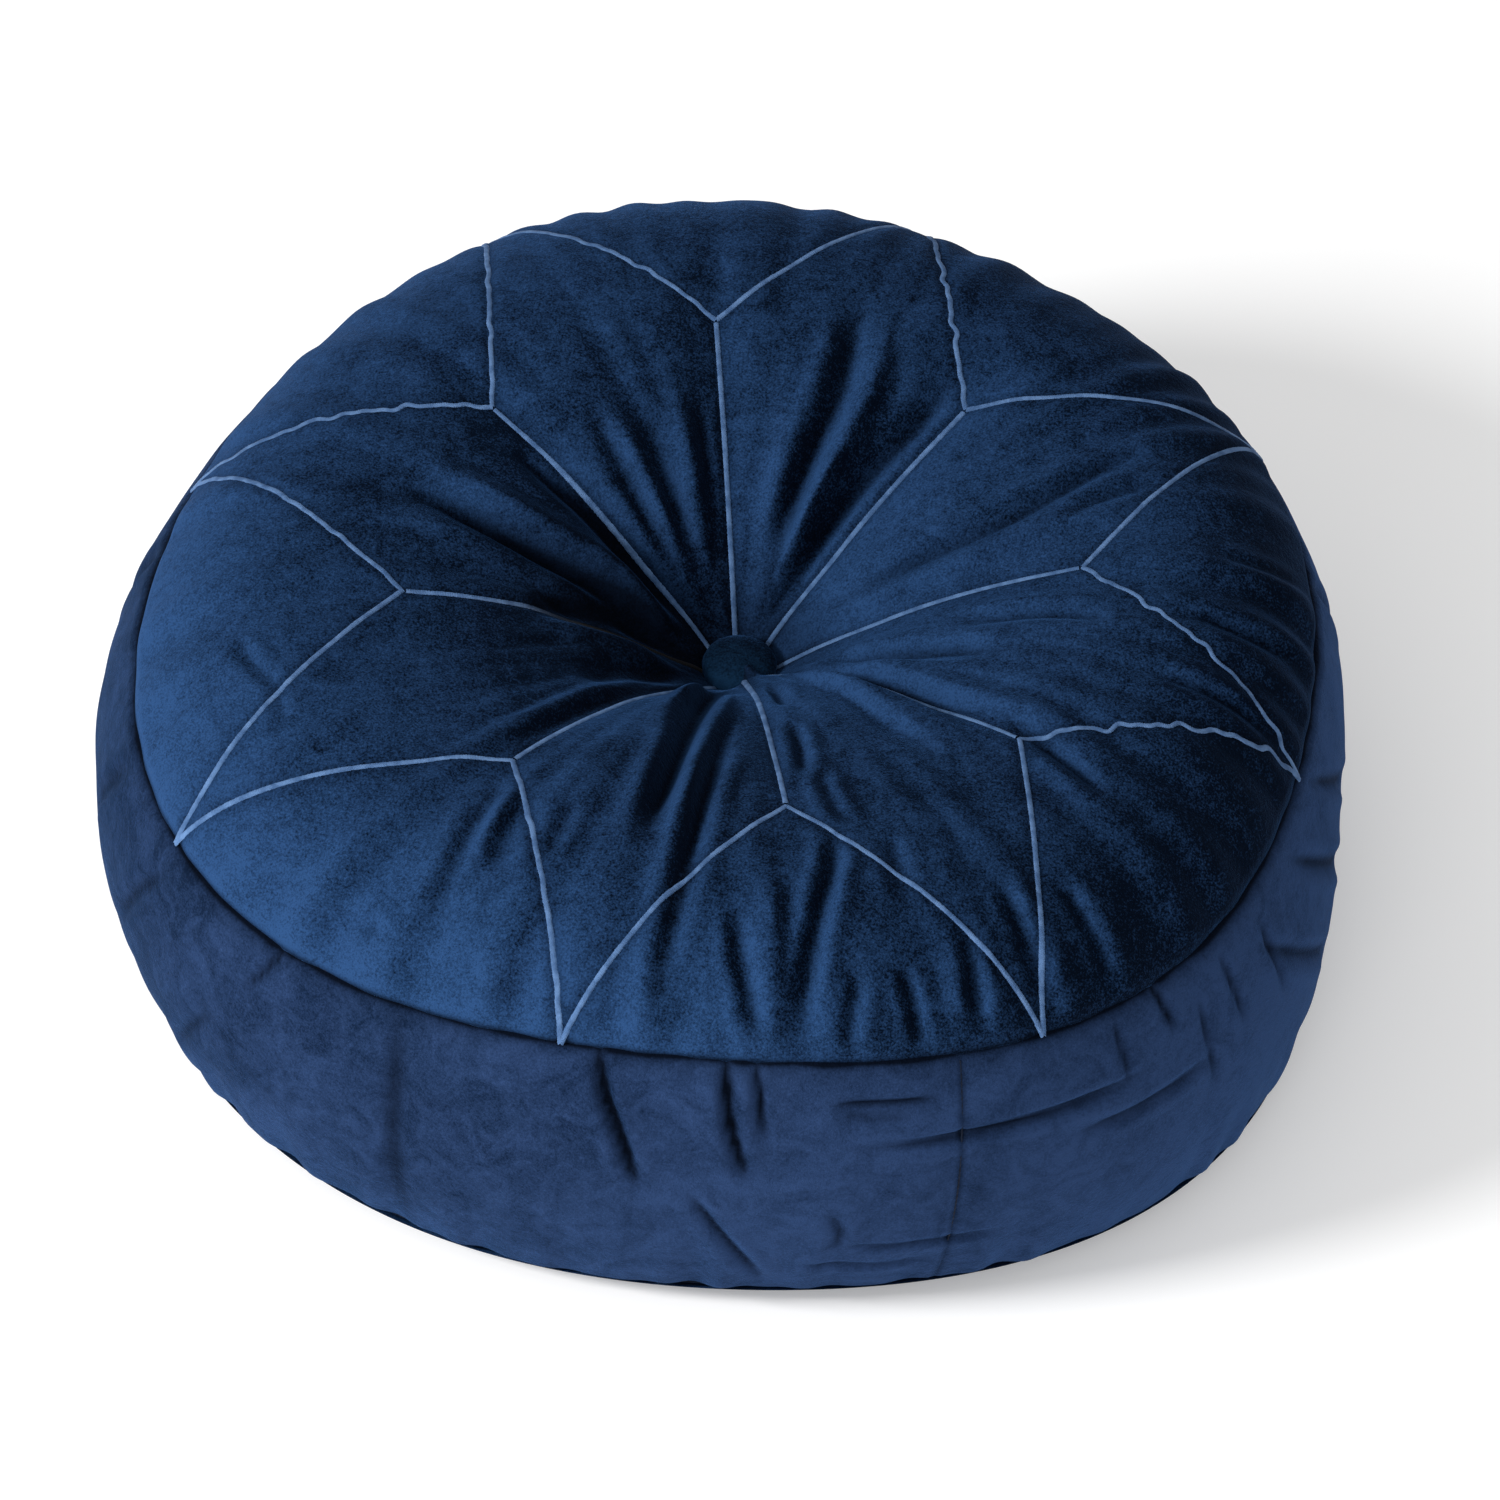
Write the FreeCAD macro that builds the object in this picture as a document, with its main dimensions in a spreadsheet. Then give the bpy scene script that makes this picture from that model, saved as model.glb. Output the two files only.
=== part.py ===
"""Round tufted floor cushion: a boxed velvet cover over a filled inner bag.

Frame: millimetres, +Z up, origin on the floor under the middle of the cushion.
Azimuths are measured about +Z from +X. The front of the cushion faces -Y.
"""
import FreeCAD, Part
import math
import os
import Sketcher

SIZES = {
    # outside of the cover, as radius and height above the floor
    "panel_radius": 300,
    "seam_height": 170,
    "crown_radius": 217,
    "crown_height": 219,
    "seat_radius": 17,
    "seat_height": 143,
    "band_arc": 198.5,
    "band_widest": 83.8,
    "base_seam_height": 14,
    "rest_radius": 265,
    "hollow_radius": 110,
    "base_seat_height": 24,
    # depths of the layers below the outside
    "cover_thickness": 1.2,
    "liner_inset": 1.6,
    "liner_thickness": 0.6,
    "filling_inset": 2.5,
    # the inner bag leaves a pocket behind the base seam
    "pocket_height": 38,
    "pocket_radius": 286,
    # seams and embroidery
    "seam_gap": 1.6,
    "thread_thickness": 1.1,
    "join_gap": 0.3,
    "ribbon_width": 3.0,
    "ribbon_lift": 0.1,
    "ribbon_thickness": 0.9,
    "fork_radius": 171.7,
    "spoke_start": 24,
    # tufting
    "twine_hole": 8,
    "channel_radius": 7,
    "twine_thickness": 2,
    "loop_radius": 4.5,
    "loop_depth": 6.3,
    "eye_wire": 1.8,
    "eye_drop": 0.3,
    "eye_leg": 2.6,
    "button_radius": 19,
    "button_height": 10.5,
    "button_shoulder": 5.2,
    "button_floor": 2,
    "button_cloth": 1,
    "button_return": 13,
    "shell_thickness": 0.8,
    "back_radius": 15.9,
    "back_top": 4.2,
    "back_foot": 0.6,
    # zip in the base seam
    "zip_sweep": 76,
    "coil_thickness": 2.2,
    "coil_offset": 1.9,
    "coil_depth": 3,
    "tape_width": 11,
    "tape_thickness": 0.6,
    "band_notch_height": 18.9,
    "base_notch_radius": 302,
    "slider_length": 9,
    "slider_half_width": 3.9,
    "slider_plate": 1,
    "slider_room": 1.4,
    "post_thickness": 0.8,
    "post_length": 3,
    "bridge_width": 1.8,
    "bridge_reach": 2.2,
    "bridge_bar": 0.8,
    "pull_length": 16,
    "pull_half_width": 2.5,
    "pull_thickness": 1,
    "pull_axis": 0.4,
    "pull_window": 3.4,
    "pull_arm": 1.2,
    "stop_length": 2.5,
}

STAR_POINTS = 8
STAR_AZIMUTH = -104.8
PANEL_AZIMUTH = 22.5
SLIDER_AZIMUTH = 2.3
ZIP_MARGIN = 1.2
STOP_AZIMUTH = 0.55
TOUCH = 0.05
SLIT = 0.3


class Size:
    """A length, with the sheet expression that drives it."""

    def __init__(self, value, text):
        self.value = float(value)
        self.text = text

    def __add__(self, other):
        other = as_size(other)
        return Size(self.value + other.value, f"({self.text} + {other.text})")

    def __sub__(self, other):
        other = as_size(other)
        return Size(self.value - other.value, f"({self.text} - {other.text})")

    def __mul__(self, other):
        other = as_size(other)
        return Size(self.value * other.value, f"({self.text} * {other.text})")

    def __truediv__(self, other):
        other = as_size(other)
        return Size(self.value / other.value, f"({self.text} / {other.text})")

    def __neg__(self):
        return Size(-self.value, f"(0 - {self.text})")

    def root(self):
        return Size(math.sqrt(self.value), f"sqrt({self.text})")


def as_size(amount):
    """Read a plain number as a Size."""
    if isinstance(amount, Size):
        return amount
    return Size(amount, f"({float(amount)!r})")


def make_sheet(doc):
    """Write the driving dimensions in the sheet and return them as Sizes."""
    sheet = doc.addObject("Spreadsheet::Sheet", "Dims")
    for row, (alias, value) in enumerate(SIZES.items(), start=1):
        sheet.set(f"A{row}", alias)
        sheet.set(f"B{row}", str(value))
        sheet.setAlias(f"B{row}", alias)
    doc.recompute()
    return {alias: Size(sheet.get(alias), f"Dims.{alias}") for alias in SIZES}


doc = FreeCAD.newDocument("floor_cushion")
dims = make_sheet(doc)
ZERO = as_size(0)


# ---- drawing helpers ----

def body_origin(body, role):
    """Find an origin plane or axis of a body by its role."""
    return next(feature for feature in body.Origin.OriginFeatures if feature.Role == role)


def new_body(name):
    body = doc.addObject("PartDesign::Body", name)
    body.Label = name
    return body


def new_sketch(body, name, plane):
    sketch = body.newObject("Sketcher::SketchObject", name)
    sketch.AttachmentSupport = [(body_origin(body, plane), "")]
    sketch.MapMode = "FlatFace"
    return sketch


def bind(sketch, constraint, size):
    """Add a dimension to a sketch and drive it from the sheet."""
    index = sketch.addConstraint(constraint)
    sketch.setExpression(f"Constraints[{index}]", size.text)


def arc_between(start, end, radius):
    """The shorter arc that turns clockwise from start to end."""
    chord = end - start
    middle = (start + end) * 0.5
    side = FreeCAD.Vector(chord.y, -chord.x, 0) * (1 / chord.Length)
    centre = middle + side * math.sqrt(radius ** 2 - chord.Length ** 2 / 4)
    first = math.atan2(end.y - centre.y, end.x - centre.x)
    last = math.atan2(start.y - centre.y, start.x - centre.x)
    if last < first:
        last += 2 * math.pi
    circle = Part.Circle(centre, FreeCAD.Vector(0, 0, 1), radius)
    return Part.ArcOfCircle(circle, first, last)


def draw_outline(sketch, corners, arcs):
    """Draw a closed outline. arcs maps the number of a side to its radius.

    A positive radius turns clockwise along the outline, a negative one the other way.
    """
    points = [FreeCAD.Vector(across.value, up.value, 0) for across, up in corners]
    for number, point in enumerate(points):
        after = points[(number + 1) % len(points)]
        radius = arcs.get(number)
        if radius is None:
            sketch.addGeometry(Part.LineSegment(point, after))
        elif radius.value > 0:
            sketch.addGeometry(arc_between(point, after, radius.value))
        else:
            sketch.addGeometry(arc_between(after, point, -radius.value))
    ends = []
    for number, point in enumerate(points):
        first = sketch.Geometry[number].StartPoint
        forward = (first - point).Length < (first - points[(number + 1) % len(points)]).Length
        ends.append((1, 2) if forward else (2, 1))
    for number, (across, up) in enumerate(corners):
        before = number - 1 if number else len(points) - 1
        start = ends[number][0]
        sketch.addConstraint(Sketcher.Constraint("Coincident", before, ends[before][1], number, start))
        bind(sketch, Sketcher.Constraint("DistanceX", -1, 1, number, start, across.value), across)
        bind(sketch, Sketcher.Constraint("DistanceY", -1, 1, number, start, up.value), up)
    for number, radius in arcs.items():
        size = radius if radius.value > 0 else -radius
        bind(sketch, Sketcher.Constraint("Radius", number, size.value), size)


def rectangle(left, low, right, high):
    return [(left, low), (left, high), (right, high), (right, low)]


def turned_body(name, corners, arcs, sweep=360.0, midplane=False):
    """Revolve an outline of radius and height about the Z axis of a new body."""
    body = new_body(name)
    sketch = new_sketch(body, f"{name}_outline", "XZ_Plane")
    draw_outline(sketch, corners, arcs)
    feature = body.newObject("PartDesign::Revolution", f"{name}_turn")
    feature.Profile = sketch
    feature.ReferenceAxis = (body_origin(body, "Z_Axis"), [""])
    feature.Angle = sweep
    feature.Midplane = midplane
    body.Tip = feature
    return body


def turned_groove(body, name, corners, sweep):
    """Cut an outline of radius and height out of a body, from its own XZ plane onward."""
    doc.recompute()
    before = body.Shape.Volume
    sketch = new_sketch(body, f"{name}_outline", "XZ_Plane")
    draw_outline(sketch, corners, {})
    feature = body.newObject("PartDesign::Groove", name)
    feature.Profile = sketch
    feature.ReferenceAxis = (body_origin(body, "Z_Axis"), [""])
    feature.setExpression("Angle", sweep.text)
    body.Tip = feature
    doc.recompute()
    assert body.Shape.Volume < before, f"{name} cuts nothing"


def padded(body, name, plane, corners, length):
    """Pad an outline by a length that is split evenly about its plane."""
    sketch = new_sketch(body, f"{name}_outline", plane)
    draw_outline(sketch, corners, {})
    feature = body.newObject("PartDesign::Pad", name)
    feature.Profile = sketch
    feature.Midplane = True
    feature.setExpression("Length", length.text)
    body.Tip = feature
    return feature


def pocketed(body, name, plane, corners, length):
    """Cut an outline out of a body by a length that is split evenly about its plane."""
    doc.recompute()
    before = body.Shape.Volume
    sketch = new_sketch(body, f"{name}_outline", plane)
    draw_outline(sketch, corners, {})
    feature = body.newObject("PartDesign::Pocket", name)
    feature.Profile = sketch
    feature.Midplane = True
    feature.setExpression("Length", length.text)
    body.Tip = feature
    doc.recompute()
    assert body.Shape.Volume < before, f"{name} cuts nothing"


def ring(name, radius, tube, height, sweep=360.0):
    """A round thread or coil laid round the Z axis."""
    torus = doc.addObject("Part::Torus", name)
    torus.Label = name
    torus.setExpression("Radius1", radius.text)
    torus.setExpression("Radius2", tube.text)
    torus.Angle3 = sweep
    torus.Placement = FreeCAD.Placement(FreeCAD.Vector(0, 0, height.value), FreeCAD.Rotation())
    torus.setExpression("Placement.Base.z", height.text)
    return torus


def turn_about_z(feature, azimuth):
    """Turn a sub-part about the cushion's axis."""
    turn = FreeCAD.Placement(FreeCAD.Vector(), FreeCAD.Rotation(FreeCAD.Vector(0, 0, 1), azimuth))
    feature.Placement = turn.multiply(feature.Placement)


# ---- the profile of the cushion ----

def bulge_radius(width, rise):
    """Radius of the arc that leaves its top level and drops by rise across width."""
    return (width * width + rise * rise) / (rise * 2)


def reach(radius, height, centre_height):
    """Half width of a circle at a height."""
    return (radius * radius - (height - centre_height) * (height - centre_height)).root()


class Profile:
    """The outside of the cushion moved inwards by an inset, as radius and height."""

    def __init__(self, inset):
        crown = dims["crown_radius"]
        top = dims["crown_height"]
        band_centre = dims["panel_radius"] - reach(dims["band_arc"], dims["seam_height"], dims["band_widest"])
        base_seam = band_centre + reach(dims["band_arc"], dims["base_seam_height"], dims["band_widest"])
        inner = bulge_radius(crown - dims["seat_radius"], top - dims["seat_height"])
        outer = bulge_radius(dims["panel_radius"] - crown, top - dims["seam_height"])
        corner = bulge_radius(base_seam - dims["rest_radius"], dims["base_seam_height"])
        hollow = bulge_radius(dims["hollow_radius"] - dims["seat_radius"], dims["base_seat_height"])
        self.inset = inset
        self.inner_arc = inner - inset
        self.outer_arc = outer - inset
        self.band_arc = dims["band_arc"] - inset
        self.corner_arc = corner - inset
        self.hollow_arc = hollow - inset
        self.inner_centre = top - inner
        self.outer_centre = top - outer
        self.band_centre = band_centre
        self.corner_centre = corner
        self.hollow_centre = hollow
        self.seat = dims["seat_height"] - inset
        self.base_seat = dims["base_seat_height"] + inset

    def seat_edge(self):
        radius = dims["crown_radius"] - reach(self.inner_arc, self.seat, self.inner_centre)
        return radius, self.seat

    def crown(self):
        return dims["crown_radius"], dims["crown_height"] - self.inset

    def top_at(self, height):
        return dims["crown_radius"] + reach(self.outer_arc, height, self.outer_centre), height

    def band_at(self, height):
        return self.band_centre + reach(self.band_arc, height, dims["band_widest"]), height

    def corner_at(self, height):
        return dims["rest_radius"] + reach(self.corner_arc, height, self.corner_centre), height

    def corner_across(self, radius):
        return radius, self.corner_centre - reach(self.corner_arc, radius, dims["rest_radius"])

    def rest_edge(self):
        return dims["rest_radius"], self.inset

    def hollow_edge(self):
        return dims["hollow_radius"], self.inset

    def base_seat_edge(self):
        radius = dims["hollow_radius"] - reach(self.hollow_arc, self.base_seat, self.hollow_centre)
        return radius, self.base_seat


def top_layer(name, outside, inside, hole, end):
    """A layer over the top, from the twine hole out to a height on the side."""
    corners = [
        (hole, outside.seat), outside.seat_edge(), outside.crown(), outside.top_at(end),
        inside.top_at(end), inside.crown(), inside.seat_edge(), (hole, inside.seat),
    ]
    arcs = {1: outside.inner_arc, 2: outside.outer_arc, 4: -inside.outer_arc, 5: -inside.inner_arc}
    return turned_body(name, corners, arcs)


def band_layer(name, outside, inside, high, low, sweep=360.0, midplane=False):
    """A layer round the side between two heights."""
    corners = [outside.band_at(high), outside.band_at(low), inside.band_at(low), inside.band_at(high)]
    arcs = {0: outside.band_arc, 2: -inside.band_arc}
    return turned_body(name, corners, arcs, sweep, midplane)


# ---- cover ----

def cover_panels():
    outside = Profile(ZERO)
    inside = Profile(dims["cover_thickness"])
    half_gap = dims["seam_gap"] / 2
    top_end = dims["seam_height"] + half_gap
    band_top = dims["seam_height"] - half_gap
    band_low = dims["base_seam_height"] + half_gap
    base_end = dims["base_seam_height"] - half_gap
    top_layer("top_panel", outside, inside, dims["twine_hole"], top_end)

    half_turn = 180.0 - SIZES["join_gap"]
    left = band_layer("band_panel_left", outside, inside, band_top, band_low, half_turn, True)
    turn_about_z(left, PANEL_AZIMUTH + 180.0)
    right = band_layer("band_panel_right", outside, inside, band_top, band_low, half_turn, True)
    notch = rectangle(dims["base_notch_radius"], ZERO, dims["panel_radius"] * 1.1, dims["band_notch_height"])
    turned_groove(right, "band_zip_notch", notch, dims["zip_sweep"])
    turn_about_z(right, PANEL_AZIMUTH)

    corners = [
        outside.corner_at(base_end), outside.rest_edge(), outside.hollow_edge(), outside.base_seat_edge(),
        (dims["twine_hole"], outside.base_seat), (dims["twine_hole"], inside.base_seat),
        inside.base_seat_edge(), inside.hollow_edge(), inside.rest_edge(), inside.corner_at(base_end),
    ]
    arcs = {0: outside.corner_arc, 2: outside.hollow_arc, 6: -inside.hollow_arc, 8: -inside.corner_arc}
    base = turned_body("base_panel", corners, arcs)
    turned_groove(base, "base_zip_notch", notch, dims["zip_sweep"])
    turn_about_z(base, PANEL_AZIMUTH)


def seam_threads():
    """A thread ring in each seam, and one down each of the two joins of the side."""
    middle = Profile(dims["cover_thickness"] / 2)
    tube = dims["thread_thickness"] / 2
    top_radius, top_height = middle.top_at(dims["seam_height"])
    ring("top_seam_thread", top_radius, tube, top_height)
    base_radius, base_height = middle.band_at(dims["base_seam_height"])
    base = ring("base_seam_thread", base_radius, tube, base_height, 360.0 - SIZES["zip_sweep"])
    turn_about_z(base, PANEL_AZIMUTH + SIZES["zip_sweep"])

    margin = SIZES["seam_gap"]
    widest = SIZES["band_widest"]
    arc = middle.band_arc.value
    high = math.degrees(math.asin((SIZES["seam_height"] - margin - widest) / arc))
    low = math.degrees(math.asin((widest - SIZES["base_seam_height"] - margin) / arc))
    joins = []
    for number, azimuth in enumerate((PANEL_AZIMUTH + 90.0, PANEL_AZIMUTH - 90.0)):
        thread = doc.addObject("Part::Torus", f"band_join_{number}")
        thread.setExpression("Radius1", middle.band_arc.text)
        thread.setExpression("Radius2", tube.text)
        thread.Angle3 = high + low
        upright = FreeCAD.Rotation(FreeCAD.Vector(1, 0, 0), 90)
        tilt = FreeCAD.Rotation(FreeCAD.Vector(0, 1, 0), low)
        centre = FreeCAD.Vector(middle.band_centre.value, 0, widest)
        thread.Placement = FreeCAD.Placement(centre, tilt.multiply(upright))
        turn_about_z(thread, azimuth)
        joins.append(thread)
    group = doc.addObject("Part::Compound", "band_join_threads")
    group.Label = "band_join_threads"
    group.Links = joins


# ---- embroidery ----

def ribbon_layer(name):
    """The thin layer over the top panel in which the satin stitch lies."""
    low = Profile(-dims["ribbon_lift"])
    high = Profile(-(dims["ribbon_lift"] + dims["ribbon_thickness"]))
    end = dims["seam_height"] + dims["seam_gap"]
    return top_layer(name, high, low, dims["twine_hole"], end)


def star_spokes():
    """Eight ribbons from the button to the forks."""
    layer = ribbon_layer("spoke_layer")
    cutter = new_body("spoke_cutter")
    cutter.AllowCompound = True
    half = dims["ribbon_width"] / 2
    end = dims["fork_radius"] - dims["ribbon_width"]
    corners = rectangle(dims["spoke_start"], -half, end, half)
    spoke = padded(cutter, "spoke", "XY_Plane", corners, dims["crown_height"] * 3)
    pattern = cutter.newObject("PartDesign::PolarPattern", "spoke_pattern")
    pattern.Originals = [spoke]
    pattern.Axis = (body_origin(cutter, "Z_Axis"), [""])
    pattern.Angle = 360
    pattern.Occurrences = STAR_POINTS
    cutter.Tip = pattern
    turn_about_z(cutter, STAR_AZIMUTH + 180.0 / STAR_POINTS)
    return common("star_spokes", layer, cutter)


def star_points():
    """The zigzag ribbon from the forks out to the tips on the seam."""
    layer = ribbon_layer("point_layer")
    cutter = new_body("point_cutter")
    half = dims["ribbon_width"] / 2
    step = math.radians(180.0 / STAR_POINTS)
    fork = FreeCAD.Vector(math.cos(step), math.sin(step), 0) * SIZES["fork_radius"]
    run = fork - FreeCAD.Vector(SIZES["panel_radius"], 0, 0)
    sketch = new_sketch(cutter, "branch_outline", "XY_Plane")
    turn = FreeCAD.Rotation(FreeCAD.Vector(0, 0, 1), math.degrees(math.atan2(run.y, run.x)))
    sketch.AttachmentOffset = FreeCAD.Placement(FreeCAD.Vector(SIZES["panel_radius"], 0, 0), turn)
    sketch.setExpression("AttachmentOffset.Base.x", dims["panel_radius"].text)
    across = dims["panel_radius"] - dims["fork_radius"] * math.cos(step)
    aside = dims["fork_radius"] * math.sin(step)
    length = (across * across + aside * aside).root()
    draw_outline(sketch, rectangle(-half, -half, length + half, half), {})
    branch = cutter.newObject("PartDesign::Pad", "branch")
    branch.Profile = sketch
    branch.Midplane = True
    branch.setExpression("Length", (dims["crown_height"] * 3).text)
    cutter.Tip = branch
    doc.recompute()
    both = cutter.newObject("PartDesign::MultiTransform", "star")
    both.Originals = [branch]
    mirror = cutter.newObject("PartDesign::Mirrored", "star_mirror")
    mirror.MirrorPlane = (body_origin(cutter, "XZ_Plane"), [""])
    pattern = cutter.newObject("PartDesign::PolarPattern", "star_pattern")
    pattern.Axis = (body_origin(cutter, "Z_Axis"), [""])
    pattern.Angle = 360
    pattern.Occurrences = STAR_POINTS
    both.Transformations = [mirror, pattern]
    cutter.Tip = both
    turn_about_z(cutter, STAR_AZIMUTH)
    return common("star_points", layer, cutter)


def common(name, base, tool):
    """What two solids share."""
    shared = doc.addObject("Part::Common", name)
    shared.Label = name
    shared.Base = base
    shared.Tool = tool
    return shared


# ---- inner bag and filling ----

def inner_bag():
    """A thin bag in three panels that stays clear of the base seam, round the filling."""
    outside = Profile(dims["liner_inset"])
    inside = Profile(dims["liner_inset"] + dims["liner_thickness"])
    gap = dims["seam_gap"] / 8
    hole = dims["twine_hole"]
    top_layer("liner_top", outside, inside, hole, dims["seam_height"] + gap)
    band_layer("liner_band", outside, inside, dims["seam_height"] - gap, dims["pocket_height"] + gap)
    corners = [
        outside.band_at(dims["pocket_height"] - gap), outside.corner_across(dims["pocket_radius"]),
        outside.rest_edge(), outside.hollow_edge(), outside.base_seat_edge(),
        (hole, outside.base_seat), (hole, inside.base_seat), inside.base_seat_edge(),
        inside.hollow_edge(), inside.rest_edge(), inside.corner_across(dims["pocket_radius"]),
        inside.band_at(dims["pocket_height"] - gap),
    ]
    arcs = {1: outside.corner_arc, 3: outside.hollow_arc, 7: -inside.hollow_arc, 9: -inside.corner_arc}
    turned_body("liner_base", corners, arcs)


def fibre_filling():
    """The filling, pulled in at the middle and pierced for the twine."""
    profile = Profile(dims["filling_inset"])
    channel = dims["channel_radius"]
    corners = [
        (channel, profile.seat), profile.seat_edge(), profile.crown(), profile.top_at(dims["seam_height"]),
        profile.band_at(dims["pocket_height"]), profile.corner_across(dims["pocket_radius"]),
        profile.rest_edge(), profile.hollow_edge(), profile.base_seat_edge(), (channel, profile.base_seat),
    ]
    arcs = {
        1: profile.inner_arc, 2: profile.outer_arc, 3: profile.band_arc,
        5: profile.corner_arc, 7: profile.hollow_arc,
    }
    return turned_body("fibre_filling", corners, arcs)


# ---- tufting ----

def tufting_twine():
    """One twine through the middle, tied in a loop at each end."""
    tube = dims["twine_thickness"] / 2
    top = dims["seat_height"] - dims["loop_depth"]
    base = dims["base_seat_height"] + dims["loop_depth"]
    upright = FreeCAD.Rotation(FreeCAD.Vector(1, 0, 0), 90)
    pieces = []
    for name, height in (("twine_top_loop", top), ("twine_base_loop", base)):
        loop = ring(name, dims["loop_radius"], tube, height)
        loop.Placement = FreeCAD.Placement(FreeCAD.Vector(0, 0, height.value), upright)
        loop.setExpression("Placement.Base.z", height.text)
        pieces.append(loop)
    run = doc.addObject("Part::Cylinder", "twine_run")
    start = base + dims["loop_radius"]
    run.setExpression("Radius", tube.text)
    run.setExpression("Height", (top - dims["loop_radius"] - start).text)
    run.setExpression("Placement.Base.z", start.text)
    pieces.append(run)
    twine = doc.addObject("Part::MultiFuse", "tufting_twine")
    twine.Label = "tufting_twine"
    twine.Shapes = pieces
    return twine


def dome_height(inset, radius):
    """Height of the button's dome at a radius, moved inwards by an inset."""
    dome = bulge_radius(dims["button_radius"], dims["button_height"] - dims["button_shoulder"])
    return dims["button_height"] - dome + reach(dome - inset, radius, ZERO)


def button_cover(name):
    """Cloth over the dome, turned in under the rim."""
    cloth = dims["button_cloth"]
    dome = bulge_radius(dims["button_radius"], dims["button_height"] - dims["button_shoulder"])
    low = dims["button_floor"]
    inner = dims["button_radius"] - cloth * 1.1
    corners = [
        (ZERO, dims["button_height"]), (dims["button_radius"], dims["button_shoulder"]),
        (dims["button_radius"] - cloth * 0.8, low), (dims["button_return"], low),
        (dims["button_return"], low + cloth), (inner - cloth * 0.3, low + cloth),
        (inner, dome_height(cloth, inner)), (ZERO, dims["button_height"] - cloth),
    ]
    return turned_body(name, corners, {0: dome, 6: -(dome - cloth)})


def button_shell(name):
    """The metal dome under the cloth."""
    dome = bulge_radius(dims["button_radius"], dims["button_height"] - dims["button_shoulder"])
    outer = dims["button_cloth"] + TOUCH
    inner = outer + dims["shell_thickness"]
    rim = dims["button_radius"] - dims["button_cloth"] * 2
    lip = rim - dims["shell_thickness"]
    low = dims["button_floor"] + dims["button_cloth"] + SLIT
    corners = [
        (ZERO, dims["button_height"] - outer), (rim, dome_height(outer, rim)), (rim, low), (lip, low),
        (lip, dome_height(inner, lip)), (ZERO, dims["button_height"] - inner),
    ]
    return turned_body(name, corners, {0: dome - outer, 4: -(dome - inner)})


def button_back(name):
    """The plate that closes the shell, with two holes for the eye."""
    step = dims["button_floor"] + dims["button_cloth"] + TOUCH
    foot = dims["button_return"] - SLIT
    corners = [
        (ZERO, dims["back_top"]), (dims["back_radius"], dims["back_top"]), (dims["back_radius"], step),
        (foot, step), (foot, dims["back_foot"]), (ZERO, dims["back_foot"]),
    ]
    body = turned_body(name, corners, {})
    doc.recompute()
    before = body.Shape.Volume
    sketch = new_sketch(body, f"{name}_holes", "XY_Plane")
    hole = dims["eye_wire"] / 2 + TOUCH
    for number, side in enumerate((-1, 1)):
        across = dims["loop_radius"] * side
        circle = Part.Circle(FreeCAD.Vector(across.value, 0, 0), FreeCAD.Vector(0, 0, 1), hole.value)
        sketch.addGeometry(circle)
        bind(sketch, Sketcher.Constraint("DistanceX", -1, 1, number, 3, across.value), across)
        bind(sketch, Sketcher.Constraint("DistanceY", -1, 1, number, 3, 0.0), ZERO)
        bind(sketch, Sketcher.Constraint("Radius", number, hole.value), hole)
    pocket = body.newObject("PartDesign::Pocket", f"{name}_bores")
    pocket.Profile = sketch
    pocket.Midplane = True
    pocket.setExpression("Length", (dims["button_height"] * 2).text)
    body.Tip = pocket
    doc.recompute()
    assert body.Shape.Volume < before, f"{name}_bores cuts nothing"
    return body


def button_eye(name):
    """A wire eye under the back, at right angles to the twine's loop."""
    wire = dims["eye_wire"] / 2
    bend = doc.addObject("Part::Torus", f"{name}_bend")
    bend.setExpression("Radius1", dims["loop_radius"].text)
    bend.setExpression("Radius2", wire.text)
    bend.Angle3 = 180
    turn = FreeCAD.Rotation(FreeCAD.Vector(1, 0, 0), -90)
    bend.Placement = FreeCAD.Placement(FreeCAD.Vector(0, 0, SIZES["eye_drop"]), turn)
    bend.setExpression("Placement.Base.z", dims["eye_drop"].text)
    pieces = [bend]
    for side in (-1, 1):
        leg = doc.addObject("Part::Cylinder", f"{name}_leg")
        leg.setExpression("Radius", wire.text)
        leg.setExpression("Height", dims["eye_leg"].text)
        leg.setExpression("Placement.Base.x", (dims["loop_radius"] * side).text)
        leg.setExpression("Placement.Base.z", dims["eye_drop"].text)
        pieces.append(leg)
    eye = doc.addObject("Part::MultiFuse", name)
    eye.Label = name
    eye.Shapes = pieces
    return eye


def covered_button(prefix, height, flip):
    """A covered button whose own frame starts on the cloth it is drawn into."""
    pieces = [
        button_cover(f"{prefix}_cover"), button_shell(f"{prefix}_shell"),
        button_back(f"{prefix}_back"), button_eye(f"{prefix}_eye"),
    ]
    turn = FreeCAD.Rotation(FreeCAD.Vector(1, 0, 0), 180.0 if flip else 0.0)
    quarter = FreeCAD.Rotation(FreeCAD.Vector(0, 0, 1), 90)
    for piece in pieces:
        piece.Placement = FreeCAD.Placement(FreeCAD.Vector(0, 0, height.value), turn.multiply(quarter))
        piece.setExpression("Placement.Base.z", height.text)


# ---- zip in the base seam ----
# The zip has its own directions at each azimuth: along the seam, across it
# (up and outwards, from the base panel to the side) and out of it.

ACROSS = FreeCAD.Vector(0.6, 0, 0.8)
OUT = FreeCAD.Vector(0.8, 0, -0.6)


def seam_point(across, out):
    """A point of the zip's section as radius and height."""
    radius, height = Profile(ZERO).band_at(dims["base_seam_height"])
    return radius + across * ACROSS.x + out * OUT.x, height + across * ACROSS.z + out * OUT.z


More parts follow.
